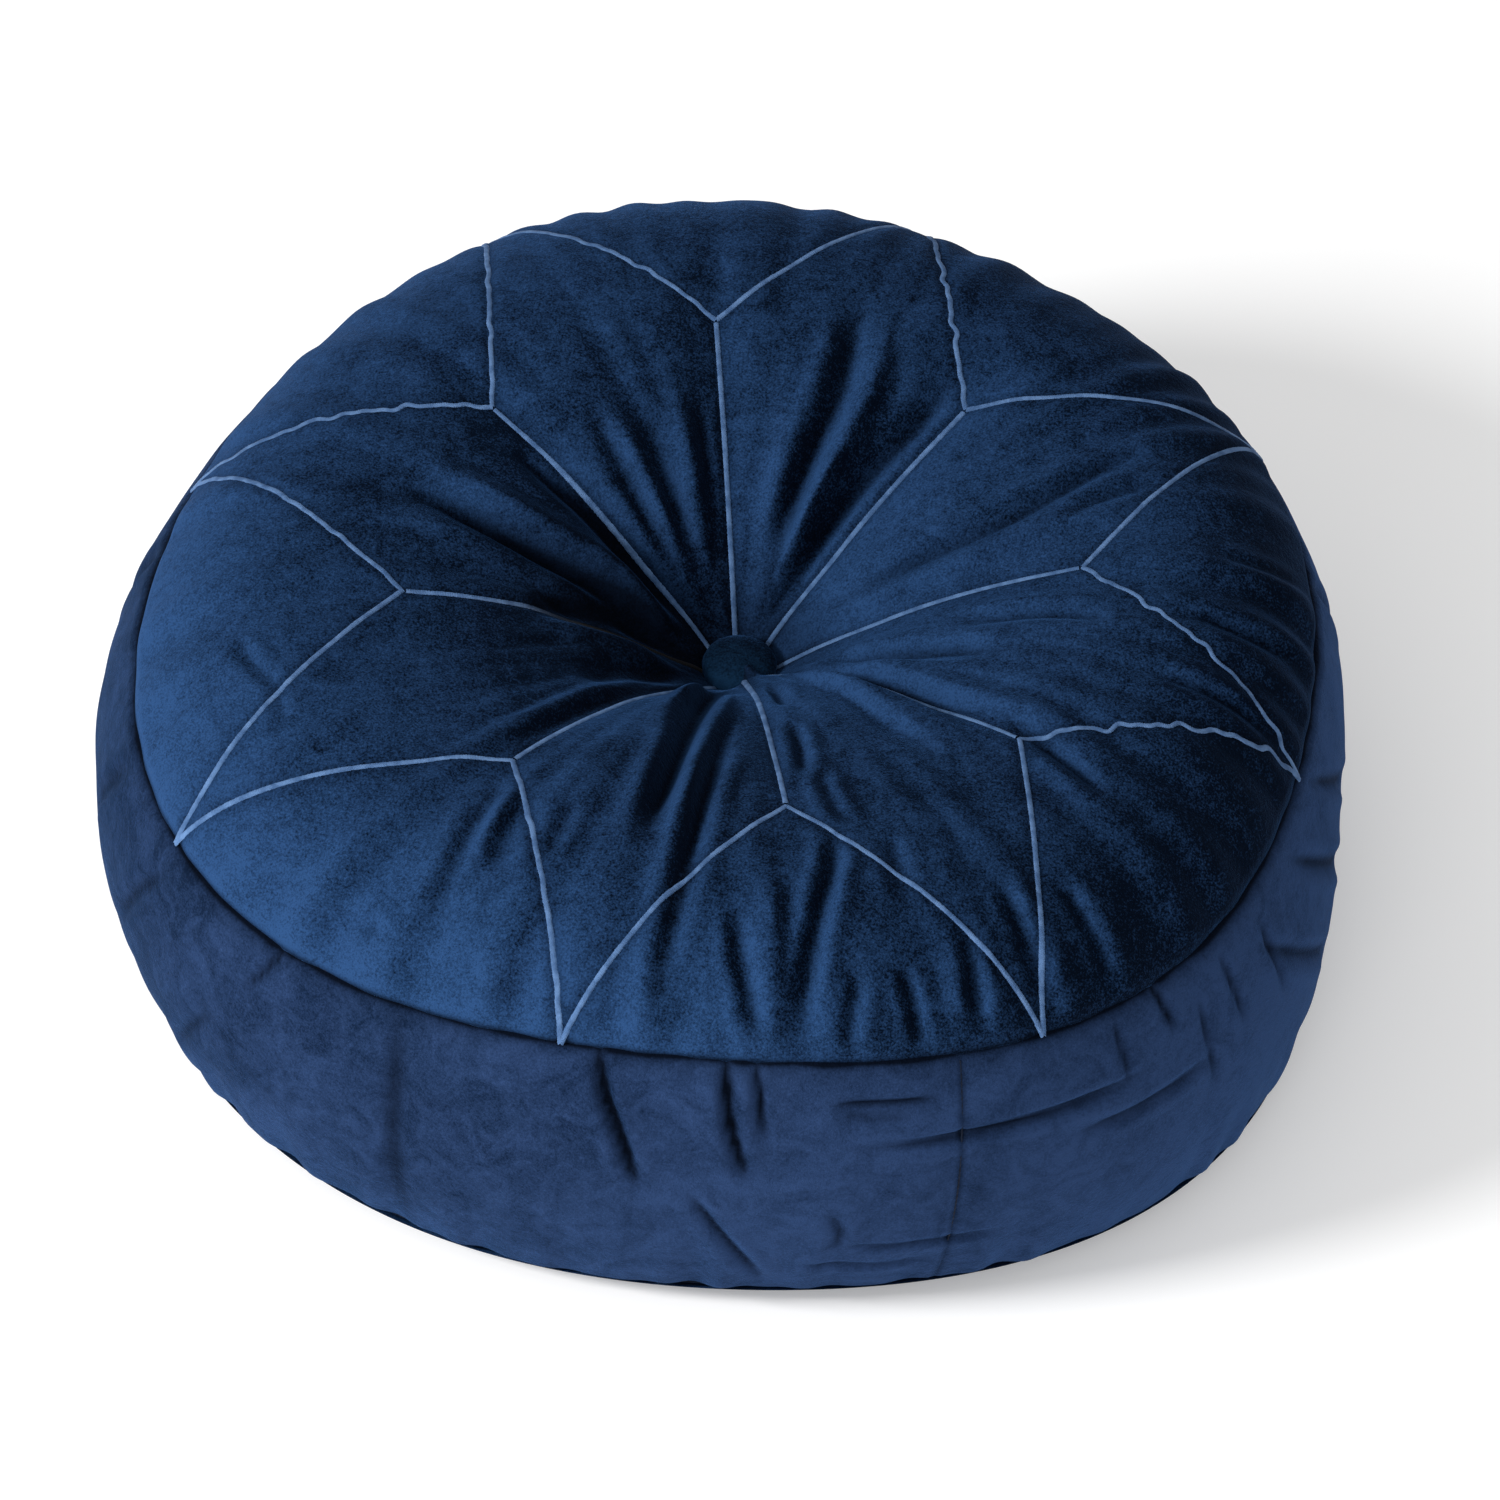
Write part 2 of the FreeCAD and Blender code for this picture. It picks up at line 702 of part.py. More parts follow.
def zip_placement(azimuth):
    """Placement of the zip's frame on the seam: X along it, Y across it, Z out of it."""
    radius, height = seam_point(ZERO, ZERO)
    axes = FreeCAD.Matrix(
        0, ACROSS.x, OUT.x, radius.value,
        1, 0, 0, 0,
        0, ACROSS.z, OUT.z, height.value,
        0, 0, 0, 1,
    )
    turn = FreeCAD.Rotation(FreeCAD.Vector(0, 0, 1), azimuth)
    return FreeCAD.Placement(FreeCAD.Vector(), turn).multiply(FreeCAD.Placement(axes))


def zip_coils():
    """The two rows of the zip, one on each side of the slider's post."""
    sweep = SIZES["zip_sweep"] - 2 * ZIP_MARGIN
    for name, side in (("zip_coil_upper", 1), ("zip_coil_lower", -1)):
        radius, height = seam_point(dims["coil_offset"] * side, -dims["coil_depth"])
        coil = ring(name, radius, dims["coil_thickness"] / 2, height, sweep)
        turn_about_z(coil, PANEL_AZIMUTH + ZIP_MARGIN)


def zip_tapes():
    """Woven tapes from the coils to the inside of the side and of the base panel."""
    start = dims["coil_offset"] + dims["coil_thickness"] / 2 + SLIT
    slopes = {"zip_tape_upper": (1, (0.3, 0.954)), "zip_tape_lower": (-1, (-0.897, -0.442))}
    for name, (side, (outward, upward)) in slopes.items():
        radius, height = seam_point(start * side, -dims["coil_depth"])
        half = dims["tape_thickness"] / 2
        far = dims["tape_width"]
        corners = [
            (radius - half * upward, height + half * outward),
            (radius - half * upward + far * outward, height + half * outward + far * upward),
            (radius + half * upward + far * outward, height - half * outward + far * upward),
            (radius + half * upward, height - half * outward),
        ]
        tape = turned_body(name, corners, {}, SIZES["zip_sweep"] - 2 * ZIP_MARGIN)
        turn_about_z(tape, PANEL_AZIMUTH + ZIP_MARGIN)


def zip_stops():
    """A crimped stop beyond each end of the rows."""
    half = dims["coil_offset"] + dims["coil_thickness"] / 2
    thick = dims["coil_thickness"]
    stops = {"zip_stop_start": STOP_AZIMUTH, "zip_stop_end": SIZES["zip_sweep"] - STOP_AZIMUTH}
    for name, azimuth in stops.items():
        body = new_body(name)
        low = -(dims["coil_depth"] + thick / 2)
        corners = rectangle(-half, low, half, low + thick)
        padded(body, f"{name}_block", "YZ_Plane", corners, dims["stop_length"])
        body.Placement = zip_placement(PANEL_AZIMUTH + azimuth)


def zip_slider():
    """Two plates round the rows on one post, the outer with turned edges and a bridge for the pull."""
    body = new_body("zip_slider")
    wide = dims["slider_half_width"]
    plate = dims["slider_plate"]
    middle = -dims["coil_depth"]
    room = dims["slider_room"]
    lip = wide - dims["tape_thickness"]
    slot = dims["tape_thickness"] - TOUCH
    high = middle + room
    low = middle - room
    post = dims["post_thickness"] / 2
    padded(body, "slider_post", "YZ_Plane", rectangle(-post, low, post, high), dims["post_length"])
    outer = [
        (-wide, high + plate), (wide, high + plate), (wide, middle + slot), (lip, middle + slot),
        (lip, high), (-lip, high), (-lip, middle + slot), (-wide, middle + slot),
    ]
    padded(body, "slider_outer_plate", "YZ_Plane", outer, dims["slider_length"])
    inner = rectangle(-wide, low - plate, wide, low)
    padded(body, "slider_inner_plate", "YZ_Plane", inner, dims["slider_length"])
    far = dims["bridge_reach"]
    bar = dims["bridge_bar"]
    face = high + plate
    crown = dims["pull_axis"] + dims["pull_thickness"] + bar
    padded(body, "slider_bridge", "XZ_Plane", rectangle(-far, face, far, crown), dims["bridge_width"])
    opening = rectangle(bar - far, face, far - bar, crown - bar)
    pocketed(body, "slider_bridge_opening", "XZ_Plane", opening, dims["bridge_width"] * 2)
    body.Placement = zip_placement(PANEL_AZIMUTH + SLIDER_AZIMUTH)


def zip_pull():
    """A flat tab with a window, whose end bar lies under the slider's bridge."""
    body = new_body("zip_pull")
    wide = dims["pull_half_width"]
    thick = dims["pull_thickness"]
    bar = thick / 2
    tab = rectangle(-bar, dims["pull_axis"] - bar, dims["pull_length"], dims["pull_axis"] + bar)
    padded(body, "pull_tab", "XZ_Plane", tab, wide * 2)
    window = rectangle(bar, -(wide - dims["pull_arm"]), dims["pull_window"], wide - dims["pull_arm"])
    pocketed(body, "pull_window_cut", "XY_Plane", window, dims["pull_length"])
    body.Placement = zip_placement(PANEL_AZIMUTH + SLIDER_AZIMUTH)


# ---- build ----

NODES = [
    "top_panel", "band_panel_left", "band_panel_right", "base_panel",
    "star_spokes", "star_points", "top_seam_thread", "base_seam_thread", "band_join_threads",
    "liner_top", "liner_band", "liner_base", "fibre_filling", "tufting_twine",
    "top_button_cover", "top_button_shell", "top_button_back", "top_button_eye",
    "base_button_cover", "base_button_shell", "base_button_back", "base_button_eye",
    "zip_coil_upper", "zip_coil_lower", "zip_tape_upper", "zip_tape_lower",
    "zip_stop_start", "zip_stop_end", "zip_slider", "zip_pull",
]


def export_parts():
    """Check every object, then write each sub-part."""
    doc.recompute()
    failed = [item.Name for item in doc.Objects if {"Invalid", "Error"} & set(item.State)]
    assert not failed, f"failed objects: {failed}"
    shapes = {name: doc.getObjectsByLabel(name)[0].Shape for name in NODES}
    for name, shape in shapes.items():
        assert not shape.isNull() and shape.isValid() and shape.Solids, f"{name} is not a solid"
    os.makedirs("parts", exist_ok=True)
    for name, shape in shapes.items():
        shape.exportStep(f"parts/{name}.step")
        box = shape.BoundBox
        span = f"{box.XMin:.1f}..{box.XMax:.1f} {box.YMin:.1f}..{box.YMax:.1f} {box.ZMin:.1f}..{box.ZMax:.1f}"
        print(f"{name}: {len(shape.Solids)} solids, {shape.Volume:.0f} mm3, {span}")


cover_panels()
seam_threads()
star_spokes()
star_points()
inner_bag()
fibre_filling()
tufting_twine()
covered_button("top_button", dims["seat_height"], False)
covered_button("base_button", dims["base_seat_height"], True)
zip_coils()
zip_tapes()
zip_stops()
zip_slider()
zip_pull()
export_parts()
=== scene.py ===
"""Looks of the round tufted floor cushion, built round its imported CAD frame.

Metres, +Z up, front of the cushion towards -Y. The cover is worked out on a
polar layout of the cut panels: a radius on the panel and an azimuth. The top
is settled by a cloth simulation, and the embroidery then follows the cloth.
"""
import math

import bpy
import numpy as np
from mathutils import Matrix, Vector


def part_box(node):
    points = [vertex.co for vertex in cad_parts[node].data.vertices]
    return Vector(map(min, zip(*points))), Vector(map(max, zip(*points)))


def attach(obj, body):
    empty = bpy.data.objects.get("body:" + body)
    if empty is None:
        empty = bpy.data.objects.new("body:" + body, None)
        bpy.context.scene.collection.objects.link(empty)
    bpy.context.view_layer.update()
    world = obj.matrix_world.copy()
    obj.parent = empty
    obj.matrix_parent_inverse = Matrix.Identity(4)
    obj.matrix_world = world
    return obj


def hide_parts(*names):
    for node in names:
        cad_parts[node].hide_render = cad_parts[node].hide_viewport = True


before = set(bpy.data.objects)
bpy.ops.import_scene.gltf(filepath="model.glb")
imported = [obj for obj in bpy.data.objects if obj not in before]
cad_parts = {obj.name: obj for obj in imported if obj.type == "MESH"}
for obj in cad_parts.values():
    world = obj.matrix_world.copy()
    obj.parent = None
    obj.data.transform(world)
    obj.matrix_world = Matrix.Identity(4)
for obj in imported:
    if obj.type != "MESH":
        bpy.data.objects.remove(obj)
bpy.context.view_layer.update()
TURN = 2 * math.pi


# ---- sizes, from the frame where it gives them ----

def middle(low, high):
    return (low + high) / 2


COVER = 0.0012
SEAM_LOW, SEAM_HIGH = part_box("top_seam_thread")
SEAM_RADIUS = (SEAM_HIGH.x - SEAM_LOW.x) / 2
SEAM_HEIGHT = middle(SEAM_LOW.z, SEAM_HIGH.z)
TOP_LOW, TOP_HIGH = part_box("top_panel")
CROWN_RADIUS = 0.217
CROWN_HEIGHT = TOP_HIGH.z
SEAT_RADIUS = 0.017
SEAT_HEIGHT = TOP_LOW.z + COVER
HOLE_RADIUS = 0.008
BAND_ARC = 0.1985
BAND_WIDEST = 0.0838
SIDE_DROP = 0.165
BAND_CENTRE = SEAM_RADIUS - math.sqrt(BAND_ARC ** 2 - (SEAM_HEIGHT - BAND_WIDEST) ** 2)
BASE_SEAM_HEIGHT = middle(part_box("base_seam_thread")[0].z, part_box("base_seam_thread")[1].z)
BASE_SEAM_RADIUS = BAND_CENTRE + math.sqrt(BAND_ARC ** 2 - (BAND_WIDEST - BASE_SEAM_HEIGHT) ** 2)
REST_RADIUS = 0.265
HOLLOW_RADIUS = 0.110
BASE_SEAT_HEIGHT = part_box("base_panel")[1].z - COVER

STAR_POINTS = 8
STAR_AZIMUTH = math.radians(-104.36)
STAR_STEP = math.pi / STAR_POINTS
FORK_REACH = [-0.4, 1.6, -0.2, -2.0, 1.4, -1.2, -1.4, 1.7]
FORK_TURN = [0.9, 0.0, -0.6, -0.9, 0.8, -0.3, 1.2, -0.6]
WAVY_BEFORE = [0.0, 0.0, 0.0009, 0.0, 0.0, 0.0004, 0.0003, 0.0]
WAVY_AFTER = [0.0, 0.0013, 0.0, 0.0008, 0.0006, 0.0010, 0.0, 0.0002]
FORK_RADIUS = 0.1712
SEAM_GROOVE = 0.0028
GROOVE_REACH = 0.0042
SEAM_TUCK = 0.006
RIBBON_WIDTH = 0.0029
RIBBON_HEIGHT = 0.0008
STITCH_PITCH = 0.0012
STITCH_STEP = 0.0004
STITCH_DEPTH = 0.0009
STITCH_STIFFNESS = 0.55
PANEL_AZIMUTH = math.radians(22.5)
ZIP_SWEEP = math.radians(76)

COLUMNS = 640
FULL_COLUMNS_FROM = 0.153
RING_STEP = 0.003
AZIMUTHS = np.arange(COLUMNS) * TURN / COLUMNS

# The cloth simulation. A cut ring's radius lies this far from its radius in plan towards its length
# along the slope, which is the spare cloth, and it settles for so many frames.
SLACK = 0.5
SIM_FRAMES = 14


# ---- how the stuffed shape departs from the round one ----
# Each list holds a cosine and a sine share for one, two, three and four waves a turn.

SEAM_REACH = [(-0.012, -0.008), (-0.008, 0.010), (-0.004, -0.014), (-0.011, 0.016)]
SEAM_RISE = [(0.0007, 0.0013), (-0.0048, -0.0010), (-0.0025, 0.0022), (0.0033, 0.0009)]
SEAM_TWIST = [(-0.004, -0.017), (0.008, 0.0), (-0.003, -0.003)]
CROWN_RISE = [(-0.0006, -0.0013), (-0.0038, -0.0028), (0.0023, 0.0009)]
BASE_REACH = [(-0.014, 0.001), (-0.001, -0.011), (-0.013, -0.015), (-0.013, -0.014)]


def waves(shares, azimuth):
    """Sum the cosine and sine shares at an azimuth."""
    total = np.zeros_like(azimuth)
    for turns, (cosine, sine) in enumerate(shares, start=1):
        total = total + cosine * np.cos(turns * azimuth) + sine * np.sin(turns * azimuth)
    return total


def smooth(value, low, high):
    """A soft step from 0 at low to 1 at high."""
    share = np.clip((value - low) / (high - low), 0, 1)
    return share * share * (3 - 2 * share)


def turn_from(azimuth, degrees):
    """Signed turn from a direction to an azimuth, at most half a turn."""
    return (azimuth - math.radians(degrees) + math.pi) % TURN - math.pi


def arc_radius(width, rise):
    """Radius of an arc that is level at one end and reaches this width and rise."""
    return (width ** 2 + rise ** 2) / (2 * rise)


INNER_ARC = arc_radius(CROWN_RADIUS - SEAT_RADIUS, CROWN_HEIGHT - SEAT_HEIGHT)
OUTER_ARC = arc_radius(SEAM_RADIUS - CROWN_RADIUS, CROWN_HEIGHT - SEAM_HEIGHT)
CORNER_ARC = arc_radius(BASE_SEAM_RADIUS - REST_RADIUS, BASE_SEAM_HEIGHT)
HOLLOW_ARC = arc_radius(HOLLOW_RADIUS - SEAT_RADIUS, BASE_SEAT_HEIGHT)


def top_height(radius):
    """Height of the round cushion's top."""
    arc = np.where(radius < CROWN_RADIUS, INNER_ARC, OUTER_ARC)
    drop = arc - np.sqrt(np.maximum(arc ** 2 - (radius - CROWN_RADIUS) ** 2, 0))
    return np.where(radius < SEAT_RADIUS, SEAT_HEIGHT, CROWN_HEIGHT - drop)


def top_point(radius, azimuth):
    """Point of the stuffed top for a radius on the panel and an azimuth."""
    share = radius / SEAM_RADIUS
    out = radius * (1 + waves(SEAM_REACH, azimuth) * share)
    turn = azimuth + waves(SEAM_TWIST, azimuth) * share
    swell = waves(CROWN_RISE, azimuth) * np.sin(math.pi * np.clip(share, 0, 1)) ** 2
    height = top_height(radius) + waves(SEAM_RISE, azimuth) * share ** 2 + swell
    return np.stack([out * np.cos(turn), out * np.sin(turn), height], -1)


def away_from_zip(azimuth):
    """0 along the zip, whose slider keeps to a true circle, and 1 away from it."""
    centre = PANEL_AZIMUTH + ZIP_SWEEP / 2
    off = np.abs((azimuth - centre + math.pi) % TURN - math.pi)
    return smooth(off, math.radians(42), math.radians(67))


def band_point(down, azimuth):
    """Point of the side: down is 0 at the top seam and 1 at the base seam."""
    flat = SEAM_HEIGHT - down * (SEAM_HEIGHT - BASE_SEAM_HEIGHT)
    radius = BAND_CENTRE + np.sqrt(BAND_ARC ** 2 - (flat - BAND_WIDEST) ** 2)
    foot = waves(BASE_REACH, azimuth) * away_from_zip(azimuth)
    sway = waves(SEAM_REACH, azimuth) * (1 - down) + foot * down
    out = radius * (1 + sway)
    turn = azimuth + waves(SEAM_TWIST, azimuth) * (1 - down)
    height = flat + waves(SEAM_RISE, azimuth) * (1 - down)
    return np.stack([out * np.cos(turn), out * np.sin(turn), height], -1)


def base_point(radius, azimuth):
    """Point of the base for a radius on the panel."""
    corner = CORNER_ARC - np.sqrt(np.maximum(CORNER_ARC ** 2 - (radius - REST_RADIUS) ** 2, 0))
    hollow = HOLLOW_ARC - np.sqrt(np.maximum(HOLLOW_ARC ** 2 - (HOLLOW_RADIUS - radius) ** 2, 0))
    height = np.where(radius > REST_RADIUS, corner, np.where(radius < HOLLOW_RADIUS, hollow, 0.0))
    height = np.where(radius < SEAT_RADIUS, BASE_SEAT_HEIGHT, height)
    share = radius / BASE_SEAM_RADIUS
    out = radius * (1 + waves(BASE_REACH, azimuth) * away_from_zip(azimuth) * share)
    return np.stack([out * np.cos(azimuth), out * np.sin(azimuth), height], -1)


# ---- meshes ----

def make_mesh(name, points, faces):
    mesh = bpy.data.meshes.new(name)
    mesh.from_pydata(points.reshape(-1, 3).tolist(), [], faces)
    mesh.update()
    return mesh


def make_object(name, mesh, material=None):
    thing = bpy.data.objects.new(name, mesh)
    bpy.context.scene.collection.objects.link(thing)
    mesh.polygons.foreach_set("use_smooth", [True] * len(mesh.polygons))
    if material:
        mesh.materials.append(material)
    return thing


def grid_faces(rows, columns, closed=True):
    """Quads of a grid of rows whose columns may close into a ring."""
    across = np.arange(columns if closed else columns - 1)
    after = (across + 1) % columns
    down = np.arange(rows - 1)[:, None] * columns
    quads = np.stack([down + across, down + after, down + columns + after, down + columns + across], -1)
    return quads.reshape(-1, 4).tolist()


def grid_object(name, points, material, hollow=None, closed=True, flip=False):
    """A smooth grid piece. hollow is the painted shade of each point, from 0 to 1."""
    rows, columns = points.shape[:2]
    faces = grid_faces(rows, columns, closed)
    if flip:
        faces = [face[::-1] for face in faces]
    mesh = make_mesh(name, points, faces)
    if hollow is not None:
        shade = mesh.attributes.new("hollow", "FLOAT", "POINT")
        shade.data.foreach_set("value", hollow.reshape(-1).astype(np.float32))
    return make_object(name, mesh, material)


# ---- cloth simulation of the top ----

def column_count(radius):
    """Fewer columns near the middle, where a full set would crowd."""
    count = COLUMNS
    while radius < FULL_COLUMNS_FROM * count / COLUMNS and count > 80:
        count //= 2
    return count


def ring_faces(counts, starts):
    """Faces between rings whose column counts are equal or halved."""
    faces = []
    for inner, outer, low, high in zip(counts, counts[1:], starts, starts[1:]):
        for column in range(inner):
            after = (column + 1) % inner
            if inner == outer:
                faces.append((low + column, high + column, high + after, low + after))
                continue
            first = high + 2 * column
            last = high + 2 * after
            faces.append((low + column, first, first + 1))
            faces.append((low + column, first + 1, low + after))
            faces.append((low + after, first + 1, last))
    return faces


def arc_length_rings(step):
    """Panel radii whose rings are evenly spaced along the slope, with their arc lengths."""
    fine = np.linspace(SEAT_RADIUS, SEAM_RADIUS, 4000)
    rise = np.hypot(np.diff(fine), np.diff(top_height(fine)))
    length = np.concatenate([[0], np.cumsum(rise)])
    marks = np.linspace(0, length[-1], int(round(length[-1] / step)) + 1)
    return np.interp(marks, length, fine), marks


def top_normal(radius, azimuth):
    """Outward direction of the round cushion's top."""
    slope = (top_height(radius + 0.0005) - top_height(radius - 0.0005)) / 0.001
    slope = np.clip(slope, -2.0, 1.0)
    normal = np.stack([-slope * np.cos(azimuth), -slope * np.sin(azimuth), np.ones_like(slope)], -1)
    return normal / np.linalg.norm(normal, axis=-1, keepdims=True)


# Each fold: height in mm (below zero for a valley), half width in mm, and the points that it
# passes, each a radius in mm and an azimuth in degrees on the cut panel.
TOP_FOLDS = [
    (-9.0, 6.0, [(22, -108), (60, -105), (110, -102.5), (160, -101), (212, -101.5)]),
    (-5.0, 5.0, [(85, -92), (118, -93.5), (178, -94.5), (240, -95.2), (300, -96.4)]),
    (-3.0, 3.5, [(40, -68), (58, -71), (80, -73)]),
    (-3.5, 3.5, [(92, -73), (125, -74.5), (152, -77)]),
    (-2.0, 3.5, [(138, -72), (165, -74), (192, -72)]),
    (-5.0, 4.0, [(182, -73.5), (212, -76), (240, -79), (270, -81), (300, -82)]),
    (-3.5, 4.0, [(235, -88.5), (265, -88), (300, -85.5)]),
    (-2.4, 4.5, [(195, -67), (218, -68.5), (242, -69)]),
    (-4.0, 4.0, [(255, -63.5), (275, -64.5), (296, -65.5)]),
    (-3.0, 3.5, [(268, -75.5), (284, -77), (300, -78)]),
    (-3.0, 3.5, [(266, -71.5), (282, -71), (300, -71)]),
    (2.5, 5.0, [(215, -84), (255, -84.5), (296, -84)]),
    (-3.0, 4.0, [(232, -57), (262, -57.5), (298, -58.5)]),
    (-2.5, 4.0, [(245, -51), (270, -50.5), (298, -51)]),
    (-3.0, 4.5, [(45, -133), (90, -131), (130, -129.8), (172, -129.3)]),
    (-2.0, 4.5, [(192, -124.3), (210, -124), (235, -122.5), (275, -120.5)]),
    (-2.2, 5.0, [(192, -120.0), (212, -118.5), (245, -117)]),
    (2.2, 4.0, [(180, -122.5), (212, -121.4), (250, -119.6)]),
    (-2.2, 4.0, [(185, -113.5), (205, -112.8), (232, -112.5)]),
    (3.0, 4.5, [(35, -116), (55, -114), (78, -112)]),
    (-2.0, 3.0, [(252, -167), (247, -162), (238, -157), (243, -150)]),
    (-2.5, 4.0, [(280, -126.6), (284, -125.4)]),
    (-6.5, 6.5, [(22, 152), (60, 148), (100, 146), (150, 148)]),
    (4.0, 6.0, [(30, 162), (60, 163), (100, 163), (150, 162), (185, 163)]),
    (-7.0, 8.0, [(24, 174), (70, 172), (110, 169), (150, 167), (190, 168)]),
    (-11.0, 8.0, [(20, -174), (50, -174), (84, -174), (112, -174)]),
    (3.0, 7.0, [(90, -171), (120, -171), (165, -171)]),
    (-5.0, 9.0, [(24, -141), (60, -141), (105, -141)]),
    (4.0, 6.0, [(45, -31), (100, -29), (140, -30.5), (185, -29.5), (238, -33)]),
    (-5.0, 5.0, [(22, -37), (70, -36.5), (118, -36), (150, -36)]),
    (4.0, 9.0, [(30, -47), (80, -45), (130, -43), (165, -43)]),
    (-3.5, 4.5, [(160, -34.5), (185, -35.5), (235, -38)]),
    (-4.5, 5.5, [(40, -24), (90, -18), (145, -16)]),
    (-3.8, 5.0, [(105, -7), (150, -4.5), (195, -6)]),
    (-4.2, 6.0, [(35, 32), (80, 26), (120, 23), (160, 24), (200, 28), (240, 28)]),
    (-2.5, 4.5, [(160, 19), (190, 21.5), (225, 22)]),
    (-5.0, 5.5, [(25, 67), (60, 63), (100, 60), (150, 57), (190, 57)]),
    (3.5, 5.5, [(35, 71), (100, 67.5), (150, 67), (190, 71)]),
    (-5.0, 6.0, [(30, 78), (100, 75), (150, 73.5), (205, 77)]),
    (-3.2, 5.0, [(30, 110), (75, 105.5), (135, 104)]),
    (-3.0, 6.0, [(35, 121), (90, 118), (135, 117)]),
    (-2.6, 4.5, [(35, 133), (100, 130.5), (145, 129)]),
    (-2.5, 4.0, [(210, -15), (250, -14), (292, -14)]),
    (-2.5, 4.0, [(225, -2), (262, -3), (294, -1)]),
    (-2.2, 4.0, [(235, 9), (265, 8), (296, 10)]),
]
SIDE_FOLDS = [
    (-6.0, 3.5, [(-8, -101), (20, -100), (42, -98), (82, -95.5)]),
    (-5.0, 3.4, [(-8, -89), (24, -88.5), (46, -87.5), (72, -86)]),
    (-3.5, 2.6, [(-4, -86.2), (18, -85.6), (44, -85)]),
    (-3.2, 3.4, [(46, -78), (45, -68), (42, -60), (41, -47)]),
    (-3.0, 3.0, [(20, -80), (21, -75), (20, -69)]),
    (-2.2, 2.6, [(27, -79), (28, -74), (27, -71)]),
    (-2.2, 7.0, [(-10, -120.5), (40, -119), (90, -118.5), (165, -117)]),
    (-3.2, 3.0, [(-4, -47), (14, -46), (30, -45)]),
    (-2.6, 3.0, [(-6, -133), (16, -134), (36, -136)]),
    (-3.0, 3.0, [(72, -92), (100, -89), (128, -86), (158, -83.5)]),
    (-2.2, 3.0, [(88, -79), (104, -77.5), (124, -78)]),
    (-2.5, 2.5, [(118, -78), (121, -72), (119, -62)]),
    (-2.0, 2.5, [(134, -82), (138, -74), (137, -68)]),
    (-2.4, 3.5, [(60, -58), (62, -50), (58, -40)]),
    (-3.0, 4.5, [(5, -24), (60, -14), (115, -4)]),
    (-3.0, 4.5, [(2, -14), (50, -5), (100, 4)]),
    (-2.8, 4.5, [(20, -33), (70, -24), (125, -14)]),
    (-2.6, 4.5, [(4, -160), (40, -163), (90, -168)]),
    (-2.4, 4.5, [(10, -148), (50, -152), (110, -157)]),
    (-2.2, 4.5, [(60, -138), (100, -142), (145, -146)]),
    (-2.4, 2.6, [(3, -52), (22, -51.5), (44, -51)]),
    (-2.0, 2.4, [(14, -42), (46, -41.5), (84, -40.5)]),
    (-2.4, 2.6, [(4, -38), (30, -37), (60, -36)]),
    (-2.2, 2.6, [(8, -31), (40, -30), (72, -29)]),
    (-3.0, 5.0, [(-6, 175), (30, 172), (80, 170)]),
    (-3.5, 5.0, [(-6, 130), (40, 128), (110, 127)]),
    (-3.0, 4.5, [(-6, 105), (30, 107), (70, 108)]),
    (-3.5, 4.5, [(-6, 62), (36, 63), (80, 61)]),
    (-3.0, 4.5, [(-6, 38), (26, 40), (70, 43)]),
    (-2.8, 4.5, [(60, 150), (100, 148), (165, 147)]),
    (-3.0, 4.5, [(-6, 80), (20, 79), (55, 81)]),
    (-3.0, 4.5, [(-6, 12), (30, 15), (75, 17)]),
]


def run_along(spots, places):
    """Distance of each place to a run of spots, and how far along the run its nearest point is."""
    nearest = np.full(places.shape[:-1], np.inf)
    travel = np.zeros(places.shape[:-1])
    lengths = np.linalg.norm(np.diff(spots, axis=0), axis=1)
    done = np.concatenate([[0], np.cumsum(lengths)])
    for number, length in enumerate(lengths):
        step = (spots[number + 1] - spots[number]) / length
        share = np.clip((places - spots[number]) @ step, 0, length)
        gap = np.linalg.norm(places - spots[number] - share[..., None] * step, axis=-1)
        better = gap < nearest
        nearest = np.where(better, gap, nearest)
        travel = np.where(better, done[number] + share, travel)
    return nearest, travel / done[-1]


def rounded(spots):
    """A smooth run through the spots, one corner cut at a time."""
    for _ in range(2):
        first = spots[:-1] * 0.75 + spots[1:] * 0.25
        second = spots[:-1] * 0.25 + spots[1:] * 0.75
        middle_spots = np.stack([first, second], 1).reshape(-1, 2)
        spots = np.concatenate([spots[:1], middle_spots, spots[-1:]])
    return spots


def fold_relief(folds, places, layout):
    """Height of the folds at places of the layout, in metres, and how far each place is in a valley, which
    is used as painted shade.
    """
    relief = np.zeros(places.shape[:-1])
    hollow = np.zeros(places.shape[:-1])
    for height, width, marks in folds:
        spots = rounded(np.array([layout(*mark) for mark in marks]))
        width = width / 1000
        near = np.min(spots, axis=0) - 5 * width
        far = np.max(spots, axis=0) + 5 * width
        inside = np.all((places > near) & (places < far), axis=-1)
        gap, travel = run_along(spots, places[inside])
        fade = smooth(travel, 0, 0.3) * (1 - smooth(travel, 0.7, 1.0))
        fade = np.maximum(fade, 0.0)
        core = np.exp(-(gap / width) ** 2)
        shoulder = 0.35 * np.exp(-((gap - 2.1 * width) / width) ** 2)
        relief[inside] += height / 1000 * (core - shoulder) * fade
        # painted shade, deeper in deeper valleys
        hollow[inside] += max(-height / 6, 0) * core ** 2 * fade
    return relief, np.clip(hollow, 0, 1)


def panel_spot(radius, degrees):
    azimuth = math.radians(degrees)
    return (radius / 1000 * math.cos(azimuth), radius / 1000 * math.sin(azimuth))


def side_spot(drop, degrees):
    return (drop / 1000, math.radians(degrees) * SEAM_RADIUS)


